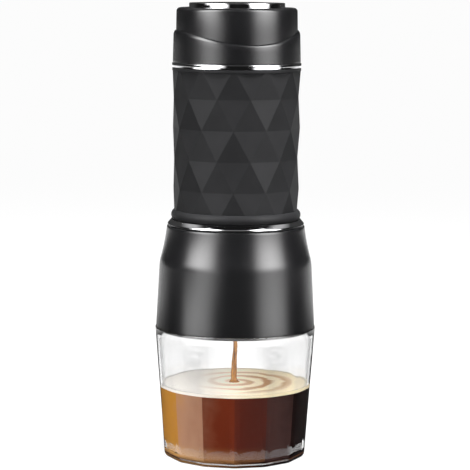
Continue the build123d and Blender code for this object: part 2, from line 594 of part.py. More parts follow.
def top_trim_ring():
    """Bright ring between the grip and the lid, seated round the tank's neck."""
    edge = TRIM_HEIGHT / 6
    return turned(
        (JACKET_BORE, SLEEVE_TOP), (TRIM_RADIUS - edge, SLEEVE_TOP), (TRIM_RADIUS, SLEEVE_TOP + edge),
        (TRIM_RADIUS, LID_FOOT - edge), (TRIM_RADIUS - edge, LID_FOOT), (JACKET_BORE, LID_FOOT),
    )


def base_trim_ring():
    """Bright cone-shaped ring round the tank's flange, above the head."""
    foot = HEAD_TOP + BASE_TRIM_SEAT
    top = SLEEVE_FOOT + BASE_TRIM_LAP
    inner = FLANGE_RADIUS + PUSH_FIT
    edge = BASE_TRIM_SEAT / 3
    return turned(
        (inner, foot), (BASE_TRIM_RADIUS - edge, foot), (BASE_TRIM_RADIUS, foot + edge),
        (inner + edge, top), (inner, top),
    )


# ---- Lid --------------------------------------------------------------------------------------
def lid_base():
    """Plate with a threaded skirt below, the pump's hub, ribs, and the knob's guide tube above."""
    skirt_foot = LID_FOOT - LID_SKIRT
    hub_foot = CYLINDER_TOP - CYLINDER_SEAT
    plate = disc(LID_SHOULDER, LID_FOOT, LID_TOP) + disc(
        COLLAR_BORE - KNOB_GAP / 2, LID_FOOT + COLLAR_SEAT, LID_TOP
    )
    skirt = ring(LID_THREAD - LID_SKIRT_WALL, LID_THREAD, skirt_foot, LID_FOOT)
    hub = disc(LID_HUB_RADIUS, hub_foot, LID_FOOT)
    guide = turned(
        (GUIDE_RADIUS - GUIDE_WALL, LID_TOP), (GUIDE_RADIUS, LID_TOP),
        (GUIDE_RADIUS, GUIDE_TOP - GUIDE_BEAD_HEIGHT), (GUIDE_BEAD_RADIUS, GUIDE_TOP - GUIDE_BEAD_HEIGHT),
        (GUIDE_BEAD_RADIUS, GUIDE_TOP - GUIDE_BEAD), (GUIDE_RADIUS, GUIDE_TOP),
        (GUIDE_RADIUS - GUIDE_WALL, GUIDE_TOP),
    )
    rib_start = (CYLINDER_OUTER + LID_HUB_RADIUS) / 2
    rib_end = LID_THREAD - LID_SKIRT_WALL / 2
    rib_height = LID_SKIRT / 2
    rib = Pos(0, 0, LID_FOOT - rib_height / 2) * Box(rib_end - rib_start, RIB_THICKNESS, rib_height)
    ribs = PolarLocations((rib_start + rib_end) / 2, LID_RIBS, WAVE_TURN) * rib
    bores = disc(CYLINDER_OUTER + PUSH_FIT, hub_foot, CYLINDER_TOP) + disc(
        BUSH_RADIUS + PUSH_FIT, CYLINDER_TOP, LID_TOP
    )
    return plate + skirt + hub + guide + ribs - bores


def wave_cutter():
    """Everything under a saddle whose height at the collar rises and falls twice round."""
    reach = 2 * COLLAR_FOOT_RADIUS
    rise = WAVE_SWING * (reach / COLLAR_FOOT_RADIUS) ** 2
    middle = LID_FOOT + WAVE_HEIGHT
    high = [(reach, 0, middle + rise), (-reach, 0, middle + rise)]
    low = [(0, reach, middle - rise), (0, -reach, middle - rise)]
    first = Edge.make_line(high[0], low[0])
    second = Edge.make_line(low[1], high[1])
    saddle = Face.make_surface_from_curves(first, second)
    depth = 2 * (WAVE_HEIGHT + rise)
    return Rot(0, 0, WAVE_TURN) * extrude(saddle, amount=depth, dir=(0, 0, -1))


def lid_collar():
    """Outer shell of the lid, tapering up to a thin wavy edge round the knob."""
    shell = turned(
        (LID_SHOULDER + RUNNING_GAP, LID_FOOT), (COLLAR_FOOT_RADIUS - COLLAR_FOOT_BEVEL, LID_FOOT),
        (COLLAR_FOOT_RADIUS, LID_FOOT + COLLAR_FOOT_BEVEL),
        (COLLAR_BORE + COLLAR_EDGE, COLLAR_TOP), (COLLAR_BORE, COLLAR_TOP),
        (COLLAR_BORE, LID_FOOT + COLLAR_SEAT), (LID_SHOULDER + RUNNING_GAP, LID_FOOT + COLLAR_SEAT),
    )
    shell = shell & wave_cutter()
    wave = shell.edges().filter_by(GeomType.BSPLINE)
    outer = [edge for edge in wave if math.hypot((edge @ 0.5).X, (edge @ 0.5).Y) > COLLAR_BORE + PUSH_FIT]
    return fillet(outer, WAVE_ROUND)


def lid_gasket():
    """Rubber ring between the lid's plate and the tank's neck."""
    return ring(LID_THREAD + PUSH_FIT, LID_SHOULDER - RUNNING_GAP, NECK_TOP, LID_FOOT)


# ---- Pump: the pieces that hang from the lid --------------------------------------------------
def rod_bush():
    """Flanged bush that guides the rod through the lid."""
    return ring(BUSH_BORE, BUSH_RADIUS, BUSH_FOOT, LID_TOP) + ring(
        BUSH_BORE, SPRING_LAND_RADIUS, LID_TOP, SPRING_FOOT
    )


def rod_seal():
    """Lip seal under the bush, drawn as a plain ring."""
    return ring(BUSH_BORE, BUSH_RADIUS, CYLINDER_TOP, BUSH_FOOT)


def return_spring():
    """Spring that lifts the knob, drawn at its compressed length."""
    return coil_spring(
        RETURN_SPRING_RADIUS, RETURN_SPRING_WIRE, RETURN_SPRING_TURNS, SPRING_FOOT, WASHER_FOOT
    )


def pump_cylinder():
    """Pump tube, with air holes above the piston's highest place."""
    tube = ring(CYLINDER_RADIUS, CYLINDER_OUTER, CYLINDER_FOOT, CYLINDER_TOP)
    vent_height = PISTON_FOOT + PISTON_HEIGHT + STROKE + 2 * CYLINDER_WALL
    vent = Pos(0, 0, vent_height) * Rot(0, 90, 0) * Cylinder(CYLINDER_WALL, 3 * CYLINDER_OUTER)
    return tube - vent


def valve_block():
    """Foot of the pump: nose for the tank's socket, inlet ports and the outlet valve's bore."""
    rim = CYLINDER_OUTER + PUSH_FIT
    body = turned(
        (0, NOSE_FOOT), (NOSE_RADIUS, NOSE_FOOT), (NOSE_RADIUS, SHOULDER), (BLOCK_RADIUS, SHOULDER),
        (BLOCK_RADIUS, CYLINDER_FOOT + BLOCK_COLLAR), (rim, CYLINDER_FOOT + BLOCK_COLLAR),
        (rim, CYLINDER_FOOT), (CYLINDER_RADIUS - PUSH_FIT, CYLINDER_FOOT),
        (CYLINDER_RADIUS - PUSH_FIT, BLOCK_TOP), (0, BLOCK_TOP),
    )
    bore = disc(VALVE_BORE, NOSE_FOOT + OUTLET_FLOOR, BLOCK_TOP)
    bore += disc(VALVE_SEAT_HOLE, NOSE_FOOT, NOSE_FOOT + OUTLET_FLOOR)
    port_height = SHOULDER + INLET_HEIGHT
    riser = disc(INLET_HOLE, port_height, BLOCK_TOP)
    reach = BLOCK_RADIUS - INLET_REACH
    inlet = Rot(0, 90, 0) * Cylinder(INLET_HOLE, reach, align=(Align.CENTER, Align.CENTER, Align.MIN))
    ports = PolarLocations(INLET_REACH, INLET_COUNT) * riser
    ports += PolarLocations(INLET_REACH, INLET_COUNT) * (Pos(0, 0, port_height) * inlet)
    return body - bore - ports - o_ring_groove(NOSE_SEAL_RADIUS, NOSE_SEAL_MIDDLE)


def nose_seal():
    """Rubber ring on the valve block's nose."""
    return o_ring(NOSE_SEAL_RADIUS, NOSE_SEAL_MIDDLE)


def cylinder_seal():
    """Flat rubber ring between the cylinder and the block's collar, at the collar's top."""
    top = CYLINDER_FOOT + BLOCK_COLLAR
    return ring(CYLINDER_OUTER + PUSH_FIT, BLOCK_RADIUS, top, top + 2 * O_RING)


def inlet_flap():
    """Rubber flap that covers the inlet ports and opens on the up stroke."""
    return ring(VALVE_BORE - PUSH_FIT, FLAP_RADIUS, BLOCK_TOP, BLOCK_TOP + FLAP_SHEET)


def outlet_seat():
    """Flanged bush that clamps the flap and seats the outlet ball on its lower end."""
    outer = VALVE_BORE - 2 * PUSH_FIT
    flange_radius = outer + VALVE_SEAT_FLANGE
    return ring(VALVE_SEAT_HOLE, outer, BLOCK_TOP - VALVE_SEAT_LENGTH, SEAT_TOP) + ring(
        VALVE_SEAT_HOLE, flange_radius, BLOCK_TOP + FLAP_SHEET, SEAT_TOP
    )


def ball_height():
    """Middle of the outlet ball when it is closed on its seat."""
    seat_depth = math.sqrt(BALL_RADIUS**2 - VALVE_SEAT_HOLE**2)
    return BLOCK_TOP - VALVE_SEAT_LENGTH - seat_depth - PUSH_FIT


def outlet_ball():
    """Ball of the outlet valve."""
    return Pos(0, 0, ball_height()) * Sphere(BALL_RADIUS)


def outlet_spring():
    """Light spring that holds the ball on its seat."""
    middle = VALVE_BORE - 4 * OUTLET_SPRING_WIRE
    foot = NOSE_FOOT + OUTLET_FLOOR
    top = ball_height() - math.sqrt(BALL_RADIUS**2 - (middle - OUTLET_SPRING_WIRE) ** 2)
    return coil_spring(middle, OUTLET_SPRING_WIRE, OUTLET_SPRING_TURNS, foot, top)


# ---- Pump: the pieces that move ---------------------------------------------------------------
def thrust_washer():
    """Washer between the spring and the knob, on which the knob turns."""
    return ring(ROD_RADIUS + RUNNING_GAP, SPRING_LAND_RADIUS, WASHER_FOOT, WASHER_TOP)


def pump_rod():
    """Steel rod from the knob to the piston, tapped at both ends."""
    foot = PISTON_FOOT + PISTON_HEIGHT / 2
    body = disc(ROD_RADIUS, foot, ROD_TOP)
    lower = disc(SMALL_SCREW + PUSH_FIT, foot, foot + SMALL_SCREW_LENGTH)
    upper = disc(KNOB_SCREW + PUSH_FIT, ROD_TOP - KNOB_SCREW_LENGTH, ROD_TOP)
    return body - lower - upper


def piston():
    """Piston with a groove for its ring and a recess for its screw."""
    outer = CYLINDER_RADIUS - RUNNING_GAP
    top = PISTON_FOOT + PISTON_HEIGHT
    middle = PISTON_FOOT + PISTON_HEIGHT / 2
    groove_foot = middle - PISTON_SEAL_HEIGHT / 2
    body = disc(outer, PISTON_FOOT, top)
    groove = ring(
        outer - PISTON_SEAL_DEPTH, CYLINDER_RADIUS, groove_foot, groove_foot + PISTON_SEAL_HEIGHT
    )
    rod_bore = disc(ROD_RADIUS + PUSH_FIT, middle, top)
    head = disc(SMALL_SCREW_HEAD + PUSH_FIT, PISTON_FOOT, PISTON_FOOT + SMALL_SCREW_HEAD_HEIGHT)
    shank = disc(SMALL_SCREW + PUSH_FIT, PISTON_FOOT, middle)
    return body - groove - rod_bore - head - shank


def piston_seal():
    """Rubber ring of the piston."""
    foot = PISTON_FOOT + (PISTON_HEIGHT - PISTON_SEAL_HEIGHT) / 2
    inner = CYLINDER_RADIUS - RUNNING_GAP - PISTON_SEAL_DEPTH
    return ring(inner, CYLINDER_RADIUS - SHAFT_PLAY, foot, foot + PISTON_SEAL_HEIGHT)


def piston_screw():
    """Screw that holds the piston on the rod."""
    seat = PISTON_FOOT + SMALL_SCREW_HEAD_HEIGHT
    head = (SMALL_SCREW_HEAD, SMALL_SCREW_HEAD_HEIGHT)
    return hanging_screw(SMALL_SCREW, *head, SMALL_SCREW_LENGTH, seat)


def pump_knob():
    """Cap that is pressed by the palm: skirt, top plate, rod boss, ribs and the ring's groove."""
    bead_bore = SKIRT_BORE - SKIRT_BEAD
    bead_top = KNOB_FOOT + SKIRT_BEAD_HEIGHT
    outer = turned((0, KNOB_FOOT), (KNOB_RADIUS, KNOB_FOOT), (KNOB_TOP_RADIUS, KNOB_TOP), (0, KNOB_TOP))
    outer = fillet(outer.edges().group_by(Axis.Z)[-1], KNOB_ROUND)
    inside = turned(
        (0, KNOB_FOOT), (bead_bore, KNOB_FOOT), (bead_bore, bead_top), (SKIRT_BORE, bead_top),
        (SKIRT_BORE, KNOB_UNDER), (0, KNOB_UNDER),
    )
    boss = disc(KNOB_BOSS_RADIUS, WASHER_TOP, KNOB_UNDER)
    rib_start = (ROD_RADIUS + KNOB_BOSS_RADIUS) / 2
    rib_end = GUIDE_RADIUS - GUIDE_WALL - RUNNING_GAP - PUSH_FIT
    rib_height = (KNOB_UNDER - WASHER_TOP) / 2
    rib = Pos(0, 0, KNOB_UNDER - rib_height / 2) * Box(rib_end - rib_start, RIB_THICKNESS, rib_height)
    ribs = PolarLocations((rib_start + rib_end) / 2, KNOB_RIBS) * rib
    groove = ring(
        RING_RADIUS - RING_WIDTH - PUSH_FIT, RING_RADIUS + GROOVE_MARGIN, RING_FOOT, KNOB_TOP
    )
    rod_bore = disc(ROD_RADIUS + PUSH_FIT, WASHER_TOP, ROD_TOP)
    screw_hole = disc(KNOB_SCREW + PUSH_FIT, ROD_TOP, KNOB_TOP)
    head_hole = disc(KNOB_SCREW_HEAD + PUSH_FIT, KNOB_TOP - KNOB_SCREW_HEAD_HEIGHT, KNOB_TOP)
    return outer - inside + boss + ribs - groove - rod_bore - screw_hole - head_hole


def knob_screw():
    """Screw that holds the knob on the rod."""
    seat = KNOB_TOP - KNOB_SCREW_HEAD_HEIGHT
    return screw(KNOB_SCREW, KNOB_SCREW_HEAD, KNOB_SCREW_HEAD_HEIGHT, KNOB_SCREW_LENGTH, seat)


def knob_trim_ring():
    """Bright ring let into the knob's top."""
    return turned(
        (RING_RADIUS - RING_WIDTH, RING_FOOT), (RING_RADIUS, RING_FOOT),
        (RING_RADIUS, RING_TOP - RING_CHAMFER), (RING_RADIUS - RING_CHAMFER, RING_TOP),
        (RING_RADIUS - RING_WIDTH, RING_TOP),
    )


def knob_cap_disc():
    """Plain disc inside the ring, over the knob's screw."""
    radius = RING_RADIUS - RING_WIDTH - PUSH_FIT
    return disc(radius, KNOB_TOP, RING_TOP - DISC_DROP)


# ---- Write every piece ------------------------------------------------------------------------
PIECES = [
    cup, coffee,
    brew_housing, basket_holder, housing_screws, outlet_nozzle, nozzle_seal,
    filter_basket, basket_screen,
    water_tank, tank_foot, shower_screen, screen_screw, brew_gasket,
    tank_jacket, grip_sleeve, top_trim_ring, base_trim_ring,
    lid_base, lid_collar, lid_gasket, rod_bush, rod_seal, return_spring,
    pump_cylinder, cylinder_seal, valve_block, nose_seal, inlet_flap, outlet_seat,
    outlet_ball, outlet_spring,
    thrust_washer,
    pump_rod, piston, piston_seal, piston_screw, pump_knob, knob_screw, knob_trim_ring, knob_cap_disc,
]

os.makedirs("parts", exist_ok=True)
for piece in PIECES:
    export_step(piece(), f"parts/{piece.__name__}.step")
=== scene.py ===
import json
import math

import bmesh
import bpy
from bpy.props import FloatProperty, FloatVectorProperty, IntProperty, PointerProperty
from mathutils import Matrix, Vector


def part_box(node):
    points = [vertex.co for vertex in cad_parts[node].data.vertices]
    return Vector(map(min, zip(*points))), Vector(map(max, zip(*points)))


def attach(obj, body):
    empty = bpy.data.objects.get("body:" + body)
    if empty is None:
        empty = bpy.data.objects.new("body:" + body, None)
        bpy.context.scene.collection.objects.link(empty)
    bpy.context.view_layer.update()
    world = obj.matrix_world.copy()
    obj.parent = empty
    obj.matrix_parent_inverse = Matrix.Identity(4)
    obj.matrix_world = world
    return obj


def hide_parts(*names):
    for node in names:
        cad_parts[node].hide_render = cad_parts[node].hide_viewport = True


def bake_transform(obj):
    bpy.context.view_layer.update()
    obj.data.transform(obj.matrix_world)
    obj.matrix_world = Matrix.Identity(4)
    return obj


bl_info = {
    "name": "Hand espresso maker",
    "version": (1, 0, 0),
    "blender": (4, 5, 0),
    "location": "3D View > Sidebar > Espresso maker",
    "description": "Shells, grip, trim, cup and coffee of a hand-pumped espresso maker",
    "category": "Object",
}

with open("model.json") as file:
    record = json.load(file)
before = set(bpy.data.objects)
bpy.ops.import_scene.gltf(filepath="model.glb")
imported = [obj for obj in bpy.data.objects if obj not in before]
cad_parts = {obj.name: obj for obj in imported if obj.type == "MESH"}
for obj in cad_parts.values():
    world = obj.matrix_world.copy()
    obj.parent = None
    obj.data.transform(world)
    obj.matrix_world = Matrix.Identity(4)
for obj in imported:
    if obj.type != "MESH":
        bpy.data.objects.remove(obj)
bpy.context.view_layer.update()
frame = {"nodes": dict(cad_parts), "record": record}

MM = 0.001
SPIN_STEPS = 168          # round pieces; a multiple of the cup's 14 sides
ROUND_STEPS = 4           # faces across a rounded corner
DOME_STEPS = 6            # rings of faces on the domed disc
LIP_STEPS = 14            # faces across the sleeve's rolled lip
CREASE_STEPS = 8          # faces from the head's crease to its flare
FLARE_STEPS = 12          # faces up the flare
STREAM_STEPS = 40         # rings of faces down the stream
SHARP = math.radians(32)  # edges folded more than this stay crisp
FACET_SHARP = math.radians(2)  # and this on pieces with flats, whose faint folds are crisp too
TOUCH = 0.002 * MM        # vertices nearer than this are one
PUSH_FIT = 0.05 * MM      # room round a piece that is pressed on and stays there
SMALL_EDGE = 0.2 * MM     # rounding of a small moulded edge
MOULD_EDGE = 0.25 * MM    # rounding of the brewing head's lower edges
PLATE = 2.5 * MM          # top plates of the knob and of the brewing head


# ---- Places read from the frame ---------------------------------------------------------------
def foot(node):
    """Lowest height of a CAD node."""
    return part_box(node)[0].z


def top(node):
    """Highest height of a CAD node."""
    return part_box(node)[1].z


def reach(node):
    """Outer radius of a round CAD node."""
    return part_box(node)[1].x


TABLE = foot("cup")
CUP_TOP = top("cup")
CUP_LIP = reach("cup")
HEAD_TOP = top("brew_housing")
SLEEVE_FOOT = foot("grip_sleeve")
SLEEVE_TOP = top("grip_sleeve")
LID_FOOT = foot("lid_collar")
KNOB_FOOT = foot("pump_knob")
KNOB_TOP = top("pump_knob")


# ---- Colours and sizes that a user may change -------------------------------------------------
def linear(hex_colour):
    """The linear colour of an sRGB hex value such as #2b2b2b."""
    channels = [int(hex_colour[start:start + 2], 16) / 255 for start in (1, 3, 5)]
    return [c / 12.92 if c <= 0.04045 else ((c + 0.055) / 1.055) ** 2.4 for c in channels]


def colour(name, description, hex_colour):
    """A colour property whose default is an sRGB hex value."""
    return FloatVectorProperty(
        name=name, description=description, default=linear(hex_colour),
        subtype="COLOR", size=3, min=0, max=1,
    )


def length(name, description, default):
    """A length property in metres."""
    return FloatProperty(
        name=name, description=description, default=default, min=0, unit="LENGTH",
        subtype="DISTANCE",
    )


def share(name, description, default):
    """A property from 0 to 1."""
    return FloatProperty(
        name=name, description=description, default=default, min=0, max=1, subtype="FACTOR",
    )


class ShellSettings(bpy.types.PropertyGroup):
    """Knob, lid collar and brewing head."""

    lacquer: colour("Lacquer", "Colour of the satin lacquer", "#121213")
    gloss_black: colour("Gloss black", "Colour of the disc in the knob", "#141415")
    roughness: share("Roughness", "Roughness of the lacquer", 0.25)
    ripple: length("Ripple", "Width of one ripple of orange peel in the lacquer", 0.9 * MM)
    edge_round: length("Knob edge", "Rounding of the knob's top edge", 1.7 * MM)
    disc_rise: length("Disc rise", "The disc's middle stands this far above its ring", 0.35 * MM)
    groove: length("Groove", "Dark gap round the knob's bright ring", 0.8 * MM)
    skirt_wall: length("Knob wall", "Wall of the knob's skirt", 1.7 * MM)
    skirt_bead: length("Knob bead", "Inward bead at the foot of the knob's skirt", 0.5 * MM)
    boss_radius: length("Knob boss", "Radius of the boss that holds the pump rod", 7.0 * MM)
    knob_gap: length("Knob gap", "Room between the knob and the lid's collar", 0.2 * MM)
    head_wall: length("Head wall", "Wall of the brewing head's shell", 1.9 * MM)
    crease_drop: length("Crease", "From the head's top down to the skirt's crease", 18.9 * MM)
    crease_width: length("Crease width", "The crease stands this far outside the neck", 3.5 * MM)
    flare_drop: length("Flare", "Height of the hollow sweep under the head's top", 14.6 * MM)
    flare_width: length("Flare width", "The sweep's foot is this far outside the neck", 2.8 * MM)
    head_round: length("Head edge", "Rounding of the head's top edge", 0.5 * MM)
    head_gap: length("Head gap", "The neck stands this far outside the lower ring", 0.15 * MM)
    spigot_gap: length("Spigot gap", "Room between the head's spigot and the cup's mouth", 0.3 * MM)
    neck_opening: length("Neck opening", "Radius of the hole in the head's top", 26.8 * MM)
    knob_taper: length("Knob taper", "The knob's radius is this much less at its top", 0.35 * MM)
    collar_seat: length("Collar seat", "Height of the step at the foot of the bore", 1.4 * MM)
    collar_edge: length("Collar edge", "Thickness of the collar at its wavy edge", 0.65 * MM)
    collar_fall: length("Collar fall", "Height of the rounding outside the wavy edge", 1.5 * MM)
    wave_height: length("Wave height", "Middle of the wavy edge above the lid's foot", 12.05 * MM)
    wave_swing: length("Wave swing", "Rise and fall of the wavy edge", 3.1 * MM)
    wave_turn: FloatProperty(
        name="Wave turn", description="Direction of one of the edge's two high points",
        default=math.radians(15), unit="ROTATION", subtype="ANGLE",
    )


class TrimSettings(bpy.types.PropertyGroup):
    """Bright rings."""

    chrome: colour("Chrome", "Colour of the chrome plate", "#e6e6e8")
    steel: colour("Steel", "Colour of the stainless steel pieces", "#b9b8b5")
    edge_round: length("Edge", "Rounding of the rings' edges", 0.3 * MM)


class GripSettings(bpy.types.PropertyGroup):
    """Rubber sleeve."""

    rubber: colour("Rubber", "Colour of the sleeve", "#242425")
    grain: length("Grain", "Width of the grain moulded into the rubber", 0.35 * MM)
    corner_count: IntProperty(
        name="Corners", description="Facet corners in one row", default=12, min=3,
    )
    row_count: IntProperty(name="Rows", description="Rows of facets", default=5, min=1)
    first_turn: FloatProperty(
        name="First corner", description="Turn of the facet corners in the top row",
        default=math.radians(-2.5), unit="ROTATION", subtype="ANGLE",
    )
    wall: length("Wall", "Rubber at the corners of the facets, at the foot", 1.4 * MM)
    taper: length("Taper", "The corners stand this much further out at the top", 0.7 * MM)
    band: length("Band", "Height of the smooth band at the sleeve's top", 1.6 * MM)
    band_step: length("Band step", "The band stands this far outside the corners", 0.05 * MM)
    lip: length("Lip", "Height of the rolled lip at the sleeve's foot", 4.7 * MM)
    lip_neck: length("Lip neck", "Rubber where the rolled lip begins and ends", 1.2 * MM)
    facet_round: length("Facet edge", "Rounding of the edges between facets", 0.12 * MM)


class CupSettings(bpy.types.PropertyGroup):
    """Clear cup."""

    # A painted dark edge: shade drawn into the clear plastic where a wall is seen edge on.
    painted_edge_shade: colour("Tint", "Colour of the clear plastic where it is seen edge on", "#3c3f40")
    wall: length("Wall", "Wall of the cup", 1.6 * MM)
    floor: length("Floor", "Floor of the cup", 2.6 * MM)
    taper: length("Taper", "From the lip's radius down to the foot's", 4.2 * MM)
    lip_band: length("Lip band", "Height of the round band above the flat sides", 4.4 * MM)
    flat_depth: length("Flats", "Depth of a flat under the corner circle, at the foot", 0.65 * MM)
    recess: length("Recess", "Height of the hollow under the cup's floor", 0.6 * MM)
    foot_width: length("Foot width", "Width of the ring that the cup stands on", 5.0 * MM)
    foot_round: length("Foot edge", "Rounding outside the cup's foot", 2.4 * MM)
    inner_round: length("Inner edge", "Rounding inside, between the wall and the floor", 1.6 * MM)
    lip_round: length("Lip edge", "Rounding of the lip's two edges", 0.55 * MM)
    side_count: IntProperty(name="Sides", description="Flat sides of the cup", default=14, min=3)


class CoffeeSettings(bpy.types.PropertyGroup):
    """Coffee in the cup and the stream into it."""

    level: length("Level", "Height of the coffee above the table", 34.5 * MM)
    crema_depth: length("Crema", "Depth of the foam", 1.2 * MM)
    # Pale crema and crema: painted light and shade on one foam, lit on the left and shaded on the
    # right.
    pale_crema: colour("Pale crema", "Foam on the lit side", "#f3eee6")
    crema: colour("Crema", "Foam on the shaded side", "#ecdcb8")
    caramel: colour("Caramel", "Swirls in the foam", "#b07a42")
    # The glow is painted light: emission standing in for light that comes through from behind.
    painted_glow: share("Glow", "Light that comes through the coffee and its foam from behind", 0.3)
    swirl_gap: length("Swirl gap", "From one swirl in the foam to the next", 9 * MM)
    # Amber to dark: painted light and shade across one coffee, lit on the left and shaded on the
    # right.
    amber: colour("Amber", "Coffee where light comes through it", "#9f702c")
    tan: colour("Tan", "Coffee beside the lit edge", "#93705a")
    brown: colour("Brown", "Coffee in the middle of the cup", "#562212")
    deep_brown: colour("Deep brown", "Coffee right of the middle", "#421d16")
    dusk: colour("Dusk", "Coffee beside the shaded side", "#352523")
    dark: colour("Dark", "Coffee on the shaded side", "#130b0a")
    # The foot light is a painted pool of light.
    foot_light: colour("Foot light", "Light gathered at the foot on the lit side", "#b78e5c")
    foot_depth: length("Foot light height", "Height over which the light at the foot fades", 8 * MM)
    stream: colour("Stream", "Coffee that runs into the cup", "#a0691f")
    stream_dark: colour("Stream streaks", "Dark streaks in the stream", "#6a3e12")
    stream_light: colour("Stream lights", "Light streaks in the stream", "#c4903c")
    stream_width: length("Stream width", "Width of the stream at the outlet", 2.7 * MM)


class InsideSettings(bpy.types.PropertyGroup):
    """Plastics and seals inside."""

    nylon: colour("Nylon", "Colour of the black plastic pieces", "#262627")
    acetal: colour("Acetal", "Colour of the bearing plastic", "#d9d6cc")
    silicone: colour("Silicone", "Colour of the seals", "#b8452f")


class StageSettings(bpy.types.PropertyGroup):
    """Floor, lamps and camera."""

    floor: colour("Floor", "Colour of the floor", "#cfcfcf")
    fill: share("Fill", "Light that comes from all round", 0.36)
    key_power: FloatProperty(
        name="Key lamp", description="Power of the soft lamp above and to the right",
        default=8, min=0, unit="POWER",
    )
    key_size: length("Key lamp size", "Side of the square key lamp", 0.45)
    camera_distance: length("Camera distance", "From the camera to the maker's axis", 1.0)
    camera_height: length("Camera height", "Height of the camera above the table", 228.2 * MM)
    camera_tilt: FloatProperty(
        name="Camera tilt", description="Downward tilt of the camera",
        default=math.radians(7.07), unit="ROTATION", subtype="ANGLE",
    )
    camera_roll: FloatProperty(
        name="Camera roll", description="Turn of the camera about its own line of sight",
        default=math.radians(0.35), unit="ROTATION", subtype="ANGLE",
    )
    camera_shift: FloatProperty(
        name="Camera shift", description="Sideways shift of the picture, as a share of its width",
        default=-0.0015,
    )
    focal_length: FloatProperty(
        name="Focal length", description="Lens of the camera on a 36 mm sensor",
        default=165.1, min=1, unit="CAMERA",
    )


# ---- Mesh helpers -----------------------------------------------------------------------------
def turned(corners, steps=SPIN_STEPS):
    """A closed outline of (radius, height, cut) corners spun about Z.

    A corner with a cut is rounded, starting that far from the corner.  An outline that starts and
    ends on the axis closes over the poles.
    """
    mesh = bmesh.new()
    verts = [mesh.verts.new((corner[0], 0, corner[1])) for corner in corners]
    closes = corners[0][0] > 0 or corners[-1][0] > 0
    after = verts[1:] + verts[:1] if closes else verts[1:]
    for one, other in zip(verts, after):
        mesh.edges.new((one, other))
    cuts = {}
    for vert, corner in zip(verts, corners):
        if len(corner) > 2:
            cuts.setdefault(corner[2], []).append(vert)
    for cut, rounded in cuts.items():
        bmesh.ops.bevel(
            mesh, geom=rounded, offset=cut, offset_type="OFFSET", segments=ROUND_STEPS, profile=0.5,
            affect="VERTICES", material=-1, clamp_overlap=True,
        )
    spin(mesh, steps)
    return mesh


def spin(mesh, steps=SPIN_STEPS):
    """Turns an outline once about Z, closes its seam and poles and points its faces outwards."""
    bmesh.ops.spin(
        mesh, geom=mesh.verts[:] + mesh.edges[:], cent=(0, 0, 0), axis=(0, 0, 1), dvec=(0, 0, 0),
        angle=math.tau, steps=steps, use_merge=True, use_duplicate=False,
    )
    bmesh.ops.remove_doubles(mesh, verts=mesh.verts, dist=TOUCH)
    bmesh.ops.dissolve_degenerate(mesh, dist=TOUCH, edges=mesh.edges)
    bmesh.ops.recalc_face_normals(mesh, faces=mesh.faces)


def tangent_arc(start, heading, end, steps):
    """Points of the arc that leaves start at a heading and ends at end, and its last heading."""
    across, up = end[0] - start[0], end[1] - start[1]
    half_turn = math.remainder(math.atan2(up, across) - heading, math.tau)
    radius = math.hypot(across, up) / (2 * math.sin(half_turn))
    points = []
    for step in range(1, steps + 1):
        now = heading + 2 * half_turn * step / steps
        points.append((
            start[0] + radius * (math.sin(now) - math.sin(heading)),
            start[1] - radius * (math.cos(now) - math.cos(heading)),
        ))
    return points, heading + 2 * half_turn


def add_piece(name, mesh, material, body, slot, *nodes, sharp=SHARP):
    """Makes a shown object of a finished bmesh; it rides on a body and stands for CAD nodes."""
    for edge in mesh.edges:
        edge.smooth = len(edge.link_faces) == 2 and edge.calc_face_angle() < sharp
    for face in mesh.faces:
        face.smooth = True
    data = bpy.data.meshes.new(name)
    mesh.to_mesh(data)
    mesh.free()
    data.materials.append(material)
    piece = bpy.data.objects.new(name, data)
    bpy.context.collection.objects.link(piece)
    if body:
        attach(piece, body)
    if nodes:
        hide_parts(*nodes)
    return piece


# ---- Material helpers -------------------------------------------------------------------------
def add(tree, kind, inputs=(), **settings):
    """Adds a node, sets its properties, and sets or links its inputs by name or number."""
    node = tree.nodes.new(kind)
    for key, value in settings.items():
        setattr(node, key, value)
    for key, value in dict(inputs).items():
        if isinstance(value, bpy.types.NodeSocket):
            tree.links.new(value, node.inputs[key])
        else:
            node.inputs[key].default_value = value
    return node


def shades(ramp, *stops):
    """Sets the stops of a Color Ramp, each a place and a colour."""
    elements = ramp.color_ramp.elements
    while len(elements) < len(stops):
        elements.new(0.5)
    for element, (place, value) in zip(elements, stops):
        element.position = place
        element.color = [*value[:3], 1]
    return ramp


def grey(value):
    """A linear grey."""
    return (value, value, value)


def new_material(name):
    """A new material with an empty node tree."""
    material = bpy.data.materials.new(name)
    material.use_nodes = True
    material.node_tree.nodes.clear()
    return material


def finish_material(material, shader):
    """Links the surface to the output."""
    add(material.node_tree, "ShaderNodeOutputMaterial", {"Surface": shader})
    return material


def angle_from_front(tree, parts):
    """Angle about Z in radians: 0 in front of the maker, growing to the right."""
    front = add(tree, "ShaderNodeMath", {0: parts.outputs["Y"], 1: -1.0}, operation="MULTIPLY")
    return add(tree, "ShaderNodeMath", {0: parts.outputs["X"], 1: front.outputs[0]},
               operation="ARCTAN2").outputs[0]


def round_turn(tree, parts):
    """Share of a turn about Z, from 0 behind the maker over 0.5 in front to 1 behind it again."""
    return add(tree, "ShaderNodeMapRange", {
        "Value": angle_from_front(tree, parts), "From Min": -math.pi, "From Max": math.pi,
    }).outputs["Result"]


def round_ramp(tree, turn, *stops):
    """Grey by degrees round the maker, from -180 behind it over 0 in front."""
    node = add(tree, "ShaderNodeValToRGB", {"Fac": turn})
    shades(node, *((0.5 + degrees / 360, grey(tone)) for degrees, tone in stops))
    return node.outputs["Color"]


